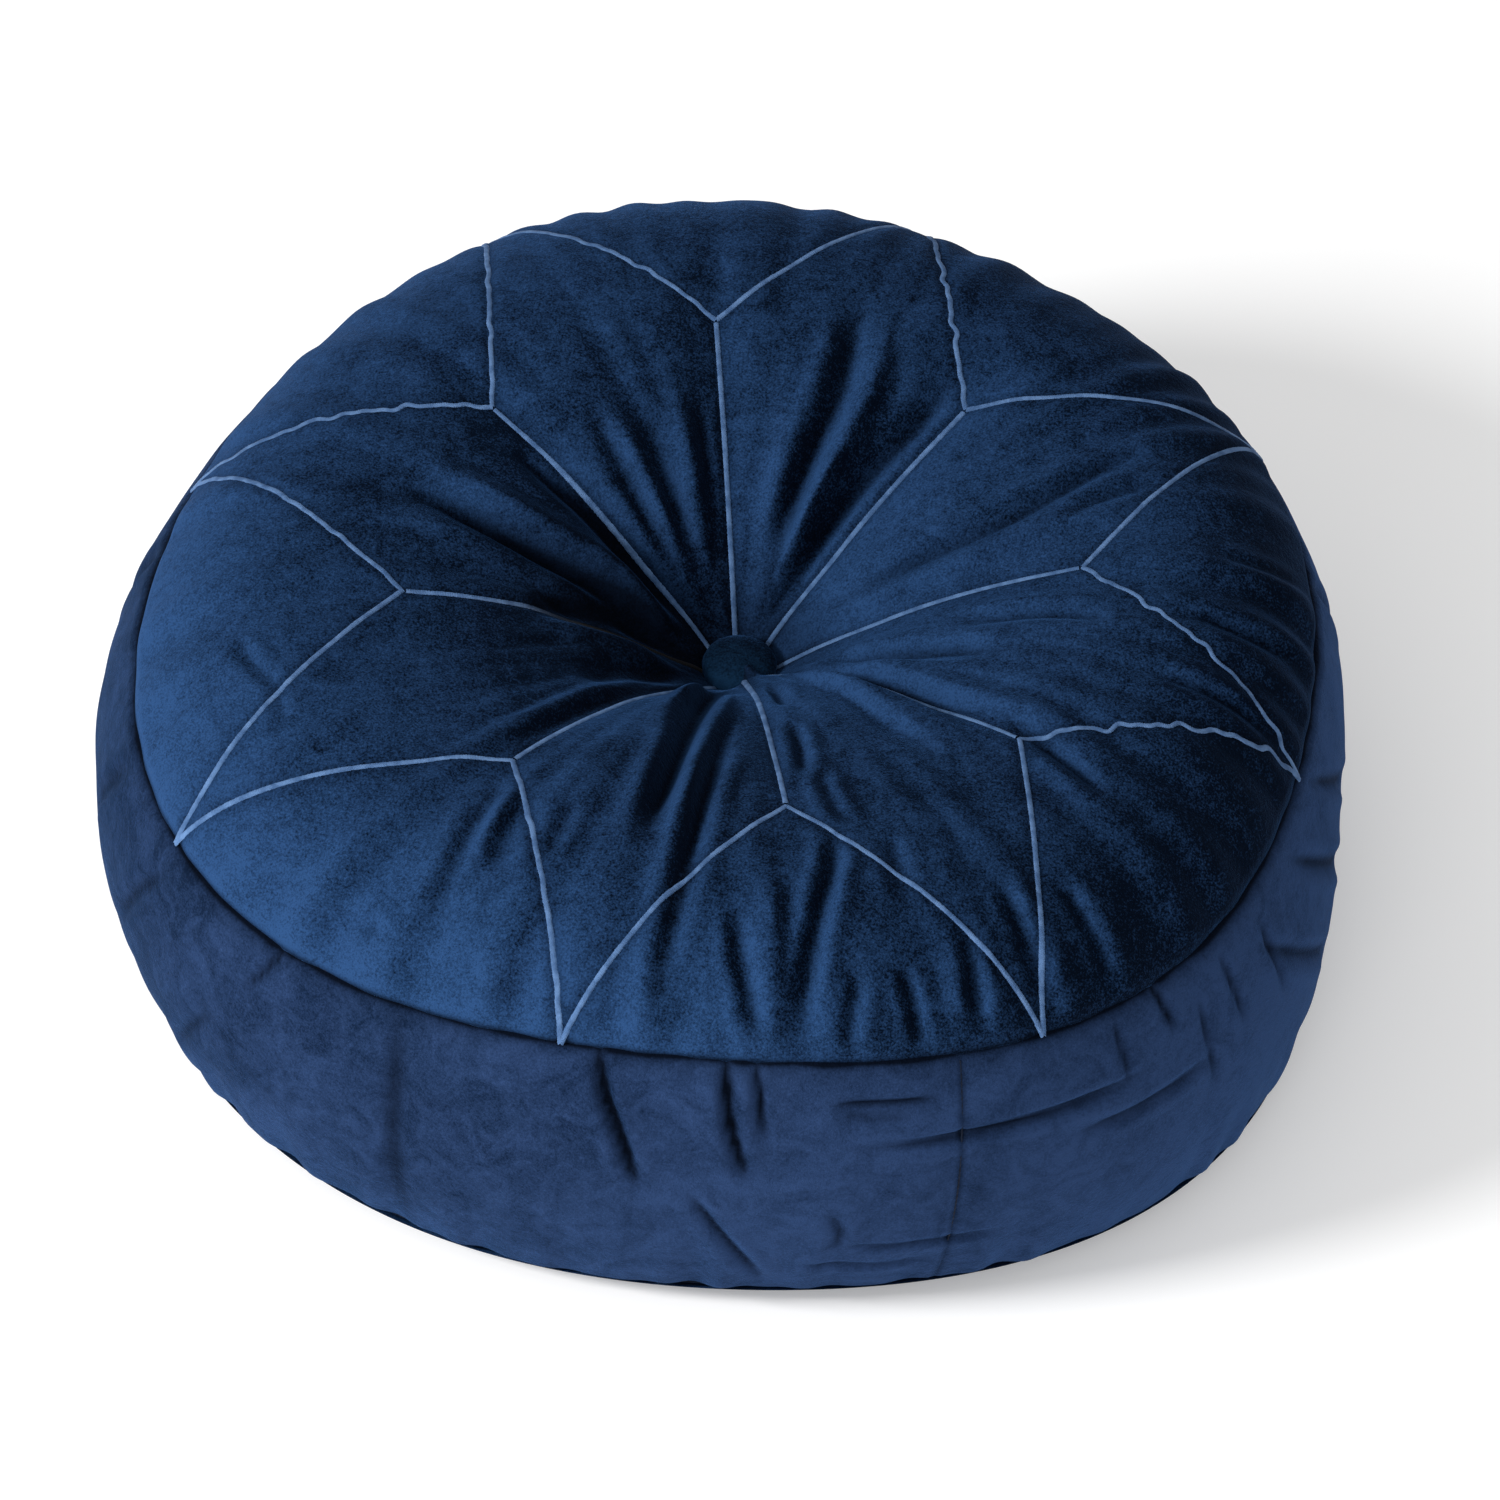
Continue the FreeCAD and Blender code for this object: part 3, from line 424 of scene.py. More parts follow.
def small_folds(radius, azimuth):
    """Gathers round the button, long soft folds, and puckers along the seam."""
    random = np.random.RandomState(7)
    lift = np.zeros_like(azimuth)
    for turns in range(9, 72):
        phase = random.uniform(0, TURN)
        wander = random.uniform(-3, 3)
        strength = random.uniform(0.2, 1)
        wavelength = TURN * radius / turns
        fits = smooth(wavelength, 0.008, 0.016) * (1 - smooth(wavelength, 0.045, 0.085))
        wave = np.cos(turns * azimuth + phase + wander * (radius / SEAM_RADIUS) ** 0.7)
        lift += strength * fits * wavelength * wave
    near_button = 0.011 * (1 - smooth(radius, 0.05, 0.14))
    long_folds = 0.0055
    near_seam = 0.0035 * smooth(radius, 0.24, 0.285)
    return lift * (near_button + long_folds + near_seam)


SPOKE_LIFT = [0.0, 0.001, -0.003, -0.007, -0.002, -0.004, 0.003, -0.001]
PETAL_SWELL = 0.003


def petals(radius, azimuth):
    """Petals swell between the spokes, and each spoke lies in its own valley or on its own ridge."""
    turn = (azimuth - STAR_AZIMUTH) / (2 * STAR_STEP) - 0.5
    nearest = np.round(turn).astype(int) % STAR_POINTS
    off = (turn - np.round(turn)) * 2 * STAR_STEP
    across = np.abs(off) * radius
    width = 0.008 + radius * 0.07
    fade = smooth(radius, 0.024, 0.07) * (1 - smooth(radius, FORK_RADIUS - 0.02, FORK_RADIUS + 0.05))
    lift = np.array(SPOKE_LIFT)[nearest] - PETAL_SWELL
    return fade * (PETAL_SWELL * 0.6 + lift * np.exp(-(across / width) ** 2))


def dimple(radius, azimuth):
    """The twine draws the cover in below the button, but the front petal puffs up against it."""
    off = turn_from(azimuth, -62)
    puff = np.exp(-(off / math.radians(36)) ** 2) * (1 - smooth(radius, 0.050, 0.130))
    drawn = 0.0020 * (1 - smooth(radius, 0.020, 0.095))
    return 0.0130 * puff - drawn


def painted_pit_shade(radius, azimuth):
    """Painted shade, from 0 to 1: darker in the pit left of the button, before it, and close round it."""
    off = turn_from(azimuth, 183)
    left = 0.94 * np.exp(-(off / math.radians(36)) ** 2) * (1 - smooth(radius, 0.050, 0.165))
    off = turn_from(azimuth, -122)
    front = 0.72 * np.exp(-(off / math.radians(22)) ** 2) * (1 - smooth(radius, 0.045, 0.135))
    ring = 0.6 * (1 - smooth(radius, 0.022, 0.062))
    return np.maximum(np.maximum(left, front), ring)


def star_lines():
    """The embroidered lines on the panel: each spoke and the two lines from its fork."""
    spokes, points = [], []
    for number in range(STAR_POINTS):
        centre = STAR_AZIMUTH + (2 * number + 1) * STAR_STEP
        azimuth = centre + math.radians(FORK_TURN[number])
        fork = polar(FORK_RADIUS + FORK_REACH[number] / 1000, azimuth)
        spokes.append(straight(polar(0.0175, azimuth), fork * 0.99))
        for turn, wave in ((-1, WAVY_BEFORE[number]), (1, WAVY_AFTER[number])):
            tip = polar(SEAM_RADIUS - 0.0005, centre + turn * STAR_STEP)
            points.append(wavy(straight(fork, tip), wave))
    return spokes, points


def polar(radius, azimuth):
    return np.array([radius * math.cos(azimuth), radius * math.sin(azimuth)])


def straight(start, end):
    count = int(np.linalg.norm(end - start) / STITCH_STEP) + 2
    return start + (end - start) * np.linspace(0, 1, count)[:, None]


def wavy(path, sway):
    """The line as the ruckled cloth carries it, from side to side."""
    run = path[-1] - path[0]
    length = np.linalg.norm(run)
    side = np.array([-run[1], run[0]]) / length
    travel = np.linspace(0, length, len(path))
    wave = np.sin(TURN * travel / 0.0165) * (0.62 + 0.45 * np.sin(TURN * travel / 0.047 + 2))
    wave += 0.5 * np.sin(TURN * travel / 0.027 + 1) + 0.3 * np.sin(TURN * travel / 0.0107 + 2.3)
    ends = smooth(travel, 0, 0.012) * (1 - smooth(travel, length - 0.012, length))
    return path + side * (sway * wave * ends)[:, None]


def stitch_hollow(places):
    """How near each place on the panel is to an embroidered line, from 0 to 1."""
    spokes, points = star_lines()
    near = np.zeros(places.shape[:-1])
    for path in spokes + points:
        spots = path[::12]
        low = spots.min(axis=0) - 0.008
        high = spots.max(axis=0) + 0.008
        inside = np.all((places > low) & (places < high), axis=-1)
        gap, _ = run_along(np.concatenate([path[:1], spots[1:], path[-1:]]), places[inside])
        near[inside] = np.maximum(near[inside], np.exp(-(gap / 0.0034) ** 2))
    return near


def top_relief(radius, azimuth):
    places = np.stack([radius * np.cos(azimuth), radius * np.sin(azimuth)], -1)
    folds, _ = fold_relief(TOP_FOLDS, places, panel_spot)
    stitched = stitch_hollow(places)
    stiff = 1 - STITCH_STIFFNESS * stitched ** 0.3
    relief = (folds + small_folds(radius, azimuth)) * stiff - STITCH_DEPTH * stitched
    relief = relief * smooth(radius, SEAT_RADIUS, SEAT_RADIUS + 0.014)
    relief = relief * (1 - 0.75 * smooth(radius, SEAM_RADIUS - 0.010, SEAM_RADIUS))
    return relief + petals(radius, azimuth)


def shaped_top(radius, azimuth):
    """The stuffed top with its folds, before the cloth settles."""
    points = top_point(radius, azimuth)
    points = points + top_normal(radius, azimuth) * top_relief(radius, azimuth)[..., None]
    points[..., 2] += dimple(radius, azimuth)
    return points


def laid_rings(radii, lengths, counts):
    """Rings of the shaped top, the same rings as cut with spare cloth, and which points are held."""
    points, cut, pins = [], [], []
    for radius, length, count in zip(radii, lengths, counts):
        azimuth = np.arange(count) * TURN / count
        around = np.full(count, radius)
        points.append(shaped_top(around, azimuth))
        flat = radius + (SEAT_RADIUS + length - radius) * SLACK
        cut.append(np.stack([flat * np.cos(azimuth), flat * np.sin(azimuth), np.zeros(count)], -1))
        edge = radius < SEAT_RADIUS + 0.004 or radius > SEAM_RADIUS - 0.001
        pins.append(np.full(count, 1.0 if edge else 0.0))
    # the cut keeps its true length along the slope, with the spare cloth round the ring
    for number in range(1, len(cut)):
        run = lengths[number] - lengths[number - 1]
        grown = np.linalg.norm(cut[number][0, :2]) - np.linalg.norm(cut[number - 1][0, :2])
        cut[number][:, 2] = cut[number - 1][0, 2] - math.sqrt(max(run ** 2 - grown ** 2, 0))
    return np.concatenate(points), np.concatenate(cut), np.concatenate(pins)


def add_cloth(thing, rest, frames):
    """Velvet pressed out by the filling, held by the vertex group of pins."""
    modifier = thing.modifiers.new("cloth", "CLOTH")
    settings = modifier.settings
    settings.quality = 5
    settings.mass = 0.3
    settings.tension_stiffness = 40
    settings.compression_stiffness = 40
    settings.shear_stiffness = 8
    settings.bending_stiffness = 0.08
    settings.air_damping = 3
    settings.vertex_group_mass = "pins"
    settings.pin_stiffness = 1
    settings.rest_shape_key = rest
    settings.use_pressure = True
    settings.uniform_pressure_force = 3.0
    settings.effector_weights.gravity = 0
    modifier.point_cache.frame_start = 1
    modifier.point_cache.frame_end = frames


def settle_top(frames):
    """Let the slack cloth of the top buckle over the filling, and return its rings."""
    radii, lengths = arc_length_rings(RING_STEP)
    counts = [column_count(radius) for radius in radii]
    starts = np.concatenate([[0], np.cumsum(counts)]).astype(int)
    points, cut, pins = laid_rings(radii, lengths, counts)
    cloth = make_object("settling", make_mesh("settling", points, ring_faces(counts, starts)))
    cloth.shape_key_add(name="Basis")
    rest = cloth.shape_key_add(name="cut")
    rest.data.foreach_set("co", cut.reshape(-1).astype(np.float32))
    rest.value = 0.0
    group = cloth.vertex_groups.new(name="pins")
    group.add(np.flatnonzero(pins > 0.5).tolist(), 1.0, "REPLACE")
    add_cloth(cloth, rest, frames)
    for number in range(1, frames + 1):
        bpy.context.scene.frame_set(number)
    shaped = cloth.evaluated_get(bpy.context.evaluated_depsgraph_get()).to_mesh()
    settled = np.zeros(len(shaped.vertices) * 3, np.float32)
    shaped.vertices.foreach_get("co", settled)
    settled = settled.reshape(-1, 3).astype(float)
    bpy.data.objects.remove(cloth)
    bpy.context.scene.frame_set(1)
    return radii, [settled[low:high] for low, high in zip(starts, starts[1:])]


class Cloth:
    """The settled top, read at any radius and azimuth of the cut panel."""

    def __init__(self, radii, rings):
        self.radii = radii
        self.grid = np.stack([self.filled(ring) for ring in rings])

    @staticmethod
    def filled(ring):
        """The ring with the full number of columns, by its Fourier series."""
        series = np.fft.rfft(ring, axis=0)
        return np.fft.irfft(series, COLUMNS, axis=0) * (COLUMNS / len(ring))

    def at(self, radius, azimuth):
        radius, azimuth = np.broadcast_arrays(radius, azimuth)
        row = np.interp(radius, self.radii, np.arange(len(self.radii)))
        low = np.clip(np.floor(row).astype(int), 0, len(self.radii) - 2)
        part = (row - low)[..., None]
        column = (azimuth / TURN * COLUMNS) % COLUMNS
        left = np.floor(column).astype(int) % COLUMNS
        right = (left + 1) % COLUMNS
        share = (column - np.floor(column))[..., None]
        near = self.grid[low, left] * (1 - share) + self.grid[low, right] * share
        far = self.grid[low + 1, left] * (1 - share) + self.grid[low + 1, right] * share
        return near * (1 - part) + far * part


def settled_top():
    return Cloth(*settle_top(SIM_FRAMES))
    radii, _ = arc_length_rings(RING_STEP)
    return Cloth(radii, [shaped_top(np.full(COLUMNS, radius), AZIMUTHS) for radius in radii])


# ---- materials ----

class Nodes:
    """Short calls for building a node tree."""

    def __init__(self, name):
        self.material = bpy.data.materials.new(name)
        self.material.use_nodes = True
        self.tree = self.material.node_tree
        self.shader = self.tree.nodes["Principled BSDF"]

    def add(self, kind, inputs=None, **settings):
        node = self.tree.nodes.new(kind)
        for key, value in settings.items():
            setattr(node, key, value)
        for key, value in (inputs or {}).items():
            if isinstance(value, bpy.types.NodeSocket):
                self.tree.links.new(value, node.inputs[key])
            else:
                node.inputs[key].default_value = value
        return node

    def place(self):
        return self.add("ShaderNodeTexCoord").outputs["Object"]

    def math(self, operation, first, second=0.0):
        return self.add("ShaderNodeMath", {0: first, 1: second}, operation=operation).outputs[0]

    def noise(self, vector, scale, detail=2.0, roughness=0.5, distortion=0.0):
        inputs = {"Vector": vector, "Scale": scale, "Detail": detail, "Roughness": roughness}
        inputs["Distortion"] = distortion
        return self.add("ShaderNodeTexNoise", inputs).outputs["Fac"]

    def ramp(self, value, low, high):
        inputs = {"Value": value, "From Min": low, "From Max": high}
        return self.add("ShaderNodeMapRange", inputs, interpolation_type="SMOOTHSTEP").outputs[0]

    def blend(self, share, first, second):
        node = self.add("ShaderNodeMix", data_type="RGBA")
        for key, value in ((0, share), (6, first), (7, second)):
            if isinstance(value, bpy.types.NodeSocket):
                self.tree.links.new(value, node.inputs[key])
            else:
                node.inputs[key].default_value = value
        return node.outputs[2]

    def bump(self, height, distance, strength):
        inputs = {"Height": height, "Distance": distance, "Strength": strength}
        return self.add("ShaderNodeBump", inputs).outputs["Normal"]

    def surface(self, **values):
        for key, value in values.items():
            socket = self.shader.inputs[key.replace("_", " ")]
            if isinstance(value, bpy.types.NodeSocket):
                self.tree.links.new(value, socket)
            else:
                socket.default_value = value
        return self.material


def velvet(name, dark, lit, painted_light_direction, crush=0.5, low=-0.38, high=0.76):
    """Cut pile, crushed in patches, with painted light: lighter on the sides that face the given
    direction, darker on those that face away, and painted shade where the hollow attribute is high.
    """
    n = Nodes(name)
    place = n.place()
    normal = n.add("ShaderNodeNewGeometry").outputs["Normal"]
    # Painted light: the colour is lighter where the surface faces the given direction and darker where it
    # faces away.
    painted_lean = n.add("ShaderNodeVectorMath", {0: normal, 1: painted_light_direction}, operation="DOT_PRODUCT")
    painted_lean = painted_lean.outputs["Value"]
    broad = n.noise(place, 11.0, 3.0, 0.55, 0.8)
    patch = n.noise(place, 46.0, 5.0, 0.62, 1.4)
    fleck = n.noise(place, 300.0, 3.0, 0.65, 0.6)
    grain = n.noise(place, 900.0, 2.0, 0.6)
    pile = n.noise(place, 2200.0, 1.0, 0.5)
    brushed = n.math("MULTIPLY", n.math("SUBTRACT", broad, 0.5), 1.3 * crush)
    scuffed = n.math("MULTIPLY", n.math("SUBTRACT", patch, 0.5), 1.9 * crush)
    flecked = n.math("MULTIPLY", n.math("SUBTRACT", fleck, 0.5), 0.9)
    grained = n.math("MULTIPLY", n.math("SUBTRACT", grain, 0.5), 2.0)
    fine = n.math("ADD", scuffed, n.math("ADD", flecked, grained))
    share = n.math("ADD", n.math("ADD", painted_lean, brushed), fine)
    share = n.add("ShaderNodeMapRange", {"Value": share, "From Min": low, "From Max": high}).outputs[0]
    colour = n.blend(share, dark, lit)
    # Painted shade: the colour goes towards a near-black where the hollow attribute is high.
    hollow = n.add("ShaderNodeAttribute", attribute_name="hollow").outputs["Fac"]
    colour = n.blend(n.math("MULTIPLY", hollow, 0.92), colour, PAINTED_SHADE)
    height = n.math("ADD", n.math("MULTIPLY", fleck, 0.7), n.math("MULTIPLY", pile, 0.3))
    relief = n.bump(height, 0.0012, 0.8)
    return n.surface(
        Base_Color=colour, Roughness=0.9, Normal=relief, Specular_IOR_Level=0.03,
        Sheen_Weight=0.34, Sheen_Roughness=0.30, Sheen_Tint=(0.07, 0.22, 0.58, 1.0),
    )


def thread(name, dark, lit, scale, roughness=0.55):
    """Sewing and embroidery thread."""
    n = Nodes(name)
    place = n.place()
    tone = n.noise(place, scale, 2.0)
    strand = n.noise(place, scale * 8, 1.0)
    colour = n.blend(n.ramp(tone, 0.3, 0.7), dark, lit)
    relief = n.bump(strand, 0.0003, 0.7)
    return n.surface(Base_Color=colour, Roughness=roughness, Normal=relief, Specular_IOR_Level=0.1)


# The first colour is a near-black painted shade for creases, seams and pits. Each dark and lit pair is a
# painted shaded and a painted lit copy of one velvet, blended by which way the surface faces and by random
# tone.
PAINTED_SHADE = (0.0002, 0.0007, 0.0022, 1)
TOP_DARK = (0.0004, 0.0026, 0.0085, 1)
TOP_LIT = (0.0166, 0.0500, 0.134, 1)
BAND_DARK = (0.0030, 0.0095, 0.028, 1)
BAND_LIT = (0.0200, 0.043, 0.112, 1)
BUTTON_DARK = (0.0003, 0.0018, 0.0055, 1)
BUTTON_LIT = (0.0040, 0.019, 0.047, 1)


# ---- camera, light and floor ----

FLOOR_REACH = 30
FLOOR_DROP = 0.0002


def camera():
    """A long lens looking down at the front."""
    data = bpy.data.cameras.new("camera")
    data.sensor_width = 36
    data.lens = 214.4
    data.clip_end = 30
    cam = bpy.data.objects.new("camera", data)
    bpy.context.scene.collection.objects.link(cam)
    elevation = math.radians(46.33)
    roll = math.radians(4.16)
    back = Vector((0, -math.cos(elevation), math.sin(elevation)))
    right = Vector((1, 0, 0))
    up = Vector((0, math.sin(elevation), math.cos(elevation)))
    across = right * math.cos(roll) + up * math.sin(roll)
    along = up * math.cos(roll) - right * math.sin(roll)
    aim = Vector((0, 0, 0.1)) + across * 0.0075 - along * 0.0113
    place = aim + back * 4.516
    turn = Matrix((across, along, back)).transposed()
    cam.matrix_world = Matrix.Translation(place) @ turn.to_4x4()
    bpy.context.scene.camera = cam


def area_light(name, place, size, power, aim=(0, 0, 0.12)):
    data = bpy.data.lights.new(name, "AREA")
    data.shape = "DISK"
    data.size = size
    data.energy = power
    lamp = bpy.data.objects.new(name, data)
    lamp.location = place
    lamp.rotation_euler = (Vector(aim) - Vector(place)).to_track_quat("-Z", "Y").to_euler()
    bpy.context.scene.collection.objects.link(lamp)


def studio():
    world = bpy.data.worlds.new("world")
    bpy.context.scene.world = world
    world.use_nodes = True
    back = world.node_tree.nodes["Background"]
    back.inputs["Color"].default_value = (1.0, 1.0, 1.0, 1)
    back.inputs["Strength"].default_value = 0.6
    area_light("key", (-3.0, -1.3, 2.1), 1.0, 145)
    area_light("front", (-0.6, -3.0, 0.7), 1.6, 30)
    bpy.context.scene.view_settings.view_transform = "Standard"


def floor():
    n = Nodes("paper")
    place = n.place()
    tone = n.noise(place, 3.0, 2.0)
    colour = n.blend(tone, (0.86, 0.86, 0.86, 1), (0.9, 0.9, 0.9, 1))
    paper = n.surface(Base_Color=colour, Roughness=0.9, Specular_IOR_Level=0.1,
                      Emission_Color=(1, 1, 1, 1), Emission_Strength=0.2)
    corners = FLOOR_REACH * np.array([[-1, -1, 0], [1, -1, 0], [1, 1, 0], [-1, 1, 0]], float)
    mesh = make_mesh("floor", corners, [(0, 1, 2, 3)])
    plane = make_object("floor", mesh, paper)
    plane.location.z = -FLOOR_DROP


# ---- pieces ----

def normals_of(points):
    """Outward unit normals of a closed grid of rows going down and columns going round."""
    along = np.gradient(points, axis=0)
    around = np.roll(points, -1, axis=1) - np.roll(points, 1, axis=1)
    normal = np.cross(along, around)
    return normal / np.maximum(np.linalg.norm(normal, axis=-1, keepdims=True), 1e-12)


def top_panel(cloth):
    """The embroidered panel, with its edge turned into the seam."""
    radii, _ = arc_length_rings(RING_STEP)
    near_seam = SEAM_RADIUS - np.array([0.0048, 0.0040, 0.0022, 0.0014, 0.0007])
    radii = np.sort(np.concatenate([radii, near_seam]))
    radius, azimuth = np.meshgrid(radii, AZIMUTHS, indexing="ij")
    points = cloth.at(radius, azimuth)
    outward = normals_of(points)
    to_seam = (SEAM_RADIUS - radius)[..., None]
    points = points - outward * SEAM_GROOVE * np.clip(1 - to_seam / GROOVE_REACH, 0, 1) ** 1.6
    seat = points[0]
    hub = np.stack([seat * np.array([share, share, 1]) for share in (0.5, 0.8)])
    tuck = points[-1] - outward[-1] * SEAM_TUCK + np.array([0, 0, 0.0008])
    rows = np.concatenate([hub, points, tuck[None]])
    places = np.stack([radius * np.cos(azimuth), radius * np.sin(azimuth)], -1)
    # Painted shade: darker in the fold valleys, along the seam, beside the stitching, and in the pit left
    # of, before and round the button.
    _, hollow = fold_relief(TOP_FOLDS, places, panel_spot)
    edge = SEAM_RADIUS - radius
    seam = np.exp(-(edge / 0.0013) ** 2)
    hollow = 0.75 * hollow + seam + 0.45 * stitch_hollow(places) + painted_pit_shade(radius, azimuth)
    hollow = np.clip(hollow, 0, 1)
    hollow = np.concatenate([hollow[:1], hollow[:1], hollow, hollow[-1:]])
    # Painted light: the top's velvet is drawn lighter where it faces left and front, darker where it faces
    # right and back.
    top_light_direction = (-0.80, -0.35, 0.0)
    piece = grid_object("cover_top", rows, velvet("top_velvet", TOP_DARK, TOP_LIT, top_light_direction), hollow)
    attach(piece, "cushion")
    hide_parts("top_panel")


def band_relief(down, azimuth):
    """Soft bulges, folds and puckers of the side, outwards, and the painted shade of its fold valleys."""
    random = np.random.RandomState(11)
    relief = np.zeros_like(azimuth)
    for turns in range(6, 60):
        phase = random.uniform(0, TURN)
        strength = random.uniform(0.3, 1) / turns
        wander = random.uniform(-1.5, 1.5)
        relief += strength * np.cos(turns * azimuth + phase + wander * down)
    relief = relief * 0.0028 * (0.5 + 0.5 * np.cos(TURN * down) ** 2)
    pucker = np.zeros_like(azimuth)
    for turns in (37, 46, 53, 61, 74, 88):
        phase = random.uniform(0, TURN)
        pucker += np.cos(turns * azimuth + phase + random.uniform(-2, 2) * down)
    near_seams = 0.25 * (1 - smooth(down, 0.0, 0.22)) + smooth(down, 0.62, 0.90)
    relief += pucker * near_seams * 0.00042 * away_from_zip(azimuth)
    turned = (azimuth + math.pi) % TURN - math.pi
    places = np.stack([down * SIDE_DROP, turned * SEAM_RADIUS], -1)
    folds, hollow = fold_relief(SIDE_FOLDS, places, side_spot)
    # the fold valleys' painted shade, made stronger on the side
    return relief + folds, 1.9 * hollow


def band_panels():
    """The side in two panels that meet in two upright joins."""
    # Painted light: the band's velvet is drawn lighter where it faces right, darker where it faces left.
    material = velvet("band_velvet", BAND_DARK, BAND_LIT, (0.62, -0.2, -0.1), 1.3, -0.92, 0.80)
    rim, foot_rim = [0, 0.005, 0.011, 0.018, 0.026], [0.974, 0.982, 0.989, 0.995, 1]
    down = np.concatenate([rim, np.linspace(0.036, 0.964, 54), foot_rim])
    half = COLUMNS // 2
    first = PANEL_AZIMUTH - math.pi / 2
    for name, start in (("right", first), ("left", first + math.pi)):
        azimuths = start + np.linspace(0, math.pi, half + 1)
        drop, azimuth = np.meshgrid(down, azimuths, indexing="ij")
        whole = band_point(drop, azimuth)
        side = np.stack([np.cos(azimuth), np.sin(azimuth), np.zeros_like(azimuth)], -1)
        relief, hollow = band_relief(drop, azimuth)
        whole += side * relief[..., None]
        edge = np.minimum(drop, 1 - drop) * (SEAM_HEIGHT - BASE_SEAM_HEIGHT)
        groove = SEAM_GROOVE * np.clip(1 - edge / GROOVE_REACH, 0, 1) ** 1.6
        join = np.minimum(azimuth - start, start + math.pi - azimuth) * SEAM_RADIUS
        groove = groove + 0.0009 * np.clip(1 - join / 0.004, 0, 1) ** 2
        whole -= side * groove[..., None]
        tuck = whole[:1] - side[:1] * SEAM_TUCK
        foot = whole[-1:] - side[-1:] * SEAM_TUCK
        rows = np.concatenate([tuck, whole, foot])
        # Painted shade: darker along both seams, in a broader band beside them, and along the joins.
        seam = np.exp(-(edge / 0.0014) ** 2) + 0.30 * np.exp(-(edge / 0.007) ** 2)
        seam = np.maximum(seam, 0.5 * np.exp(-(join / 0.0008) ** 2))
        hollow = np.clip(hollow + seam, 0, 1)
        hollow = np.concatenate([hollow[:1], hollow, hollow[-1:]])
        piece = grid_object(f"cover_side_{name}", rows, material, hollow, closed=False)
        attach(piece, "cushion")
        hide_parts(f"band_panel_{name}")


def base_relief(radius, azimuth):
    """Gathers round the base button and puckers towards the seam."""
    random = np.random.RandomState(13)
    lift = np.zeros_like(azimuth)
    for turns in range(7, 48):
        phase = random.uniform(0, TURN)
        strength = random.uniform(0.3, 1)
        wavelength = TURN * radius / turns
        fits = smooth(wavelength, 0.008, 0.016) * (1 - smooth(wavelength, 0.045, 0.085))
        lift += strength * fits * wavelength * np.cos(turns * azimuth + phase)
    gathered = smooth(radius, SEAT_RADIUS, SEAT_RADIUS + 0.014) * (1 - smooth(radius, 0.05, HOLLOW_RADIUS))
    rise = smooth(radius, REST_RADIUS, REST_RADIUS + 0.018)
    fall = 1 - smooth(radius, BASE_SEAM_RADIUS - 0.010, BASE_SEAM_RADIUS - 0.002)
    return lift * (0.028 * gathered + 0.008 * rise * fall * away_from_zip(azimuth))


def base_panel():
    """The base, flat where it rests and drawn in at the middle."""
    # Painted light: the base's velvet is drawn lighter where it faces right and back, darker where it
    # faces left and front.
    material = velvet("base_velvet", BAND_DARK, BAND_LIT, (0.3, 0.2, 0.0), 0.4)
    radii = np.concatenate([
        np.linspace(HOLE_RADIUS, HOLLOW_RADIUS, 30), np.linspace(HOLLOW_RADIUS, REST_RADIUS, 20)[1:],
        np.linspace(REST_RADIUS, BASE_SEAM_RADIUS, 16)[1:],
    ])
    radius, azimuth = np.meshgrid(radii, AZIMUTHS, indexing="ij")
    points = base_point(radius, azimuth)
    relief = base_relief(radius, azimuth)
    points[..., 2] = np.maximum(points[..., 2] + relief, 0)
    # Painted shade: deepest in the valleys of the gathers round the base button and towards the seam.
    piece = grid_object("cover_base", points, material, np.clip(-relief / 0.003, 0, 0.8), flip=True)
    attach(piece, "cushion")
    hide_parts("base_panel")


def stitched_line(path, cloth, random):
    """Satin stitch laid over the cloth along a path on the panel: its points, and for each point
    how far along and across the stitch it lies and how much painted shade it takes."""
    profile = np.linspace(-1, 1, 7)
    run = np.gradient(path, axis=0)
    run /= np.linalg.norm(run, axis=1, keepdims=True)
    side = np.stack([-run[:, 1], run[:, 0]], -1)
    travel = np.arange(len(path)) * STITCH_STEP
    uneven = 1 + 0.20 * (random.rand(len(path)) - 0.5)
    half = RIBBON_WIDTH / 2 * uneven[:, None] * profile[None]
    flat = path[:, None] + side[:, None] * half[..., None]
    radius = np.linalg.norm(flat, axis=-1)
    azimuth = np.arctan2(flat[..., 1], flat[..., 0])
    points = cloth.at(np.minimum(radius, SEAM_RADIUS), azimuth)
    middle_line = points[:, 3:4]
    along = np.gradient(middle_line, axis=0)
    normal = np.cross(along, points[:, 6:7] - points[:, 0:1])
    normal /= np.linalg.norm(normal, axis=-1, keepdims=True)
    normal *= np.sign(normal[..., 2:3])
    slant = travel[:, None] + 0.25 * half
    strands = 0.5 + 0.5 * np.cos(TURN * slant / STITCH_PITCH)
    # Painted shade on the stitches in the crease left of the button and close round it.
    stitch_shade = painted_stitch_shade(radius, azimuth)
    crown = np.sqrt(np.clip(1 - profile ** 2, 0, 1))[None]
    lift = crown * (RIBBON_HEIGHT + 0.00025 * strands) - 0.0002
    points = points + normal * lift[..., None]
    spot = np.stack(np.broadcast_arrays(travel[:, None], half, stitch_shade), -1)
    return points, spot


def painted_stitch_shade(radius, azimuth):
    """Painted shade on an embroidered line, from 0 to 1: strong in the crease left of the button, weaker
    close round the button.
    """
    off = turn_from(azimuth, -171)
    left = np.exp(-(off / math.radians(16)) ** 4) * (1 - smooth(radius, 0.075, 0.150))
    return np.maximum(left, 0.35 * (1 - smooth(radius, 0.020, 0.060)))


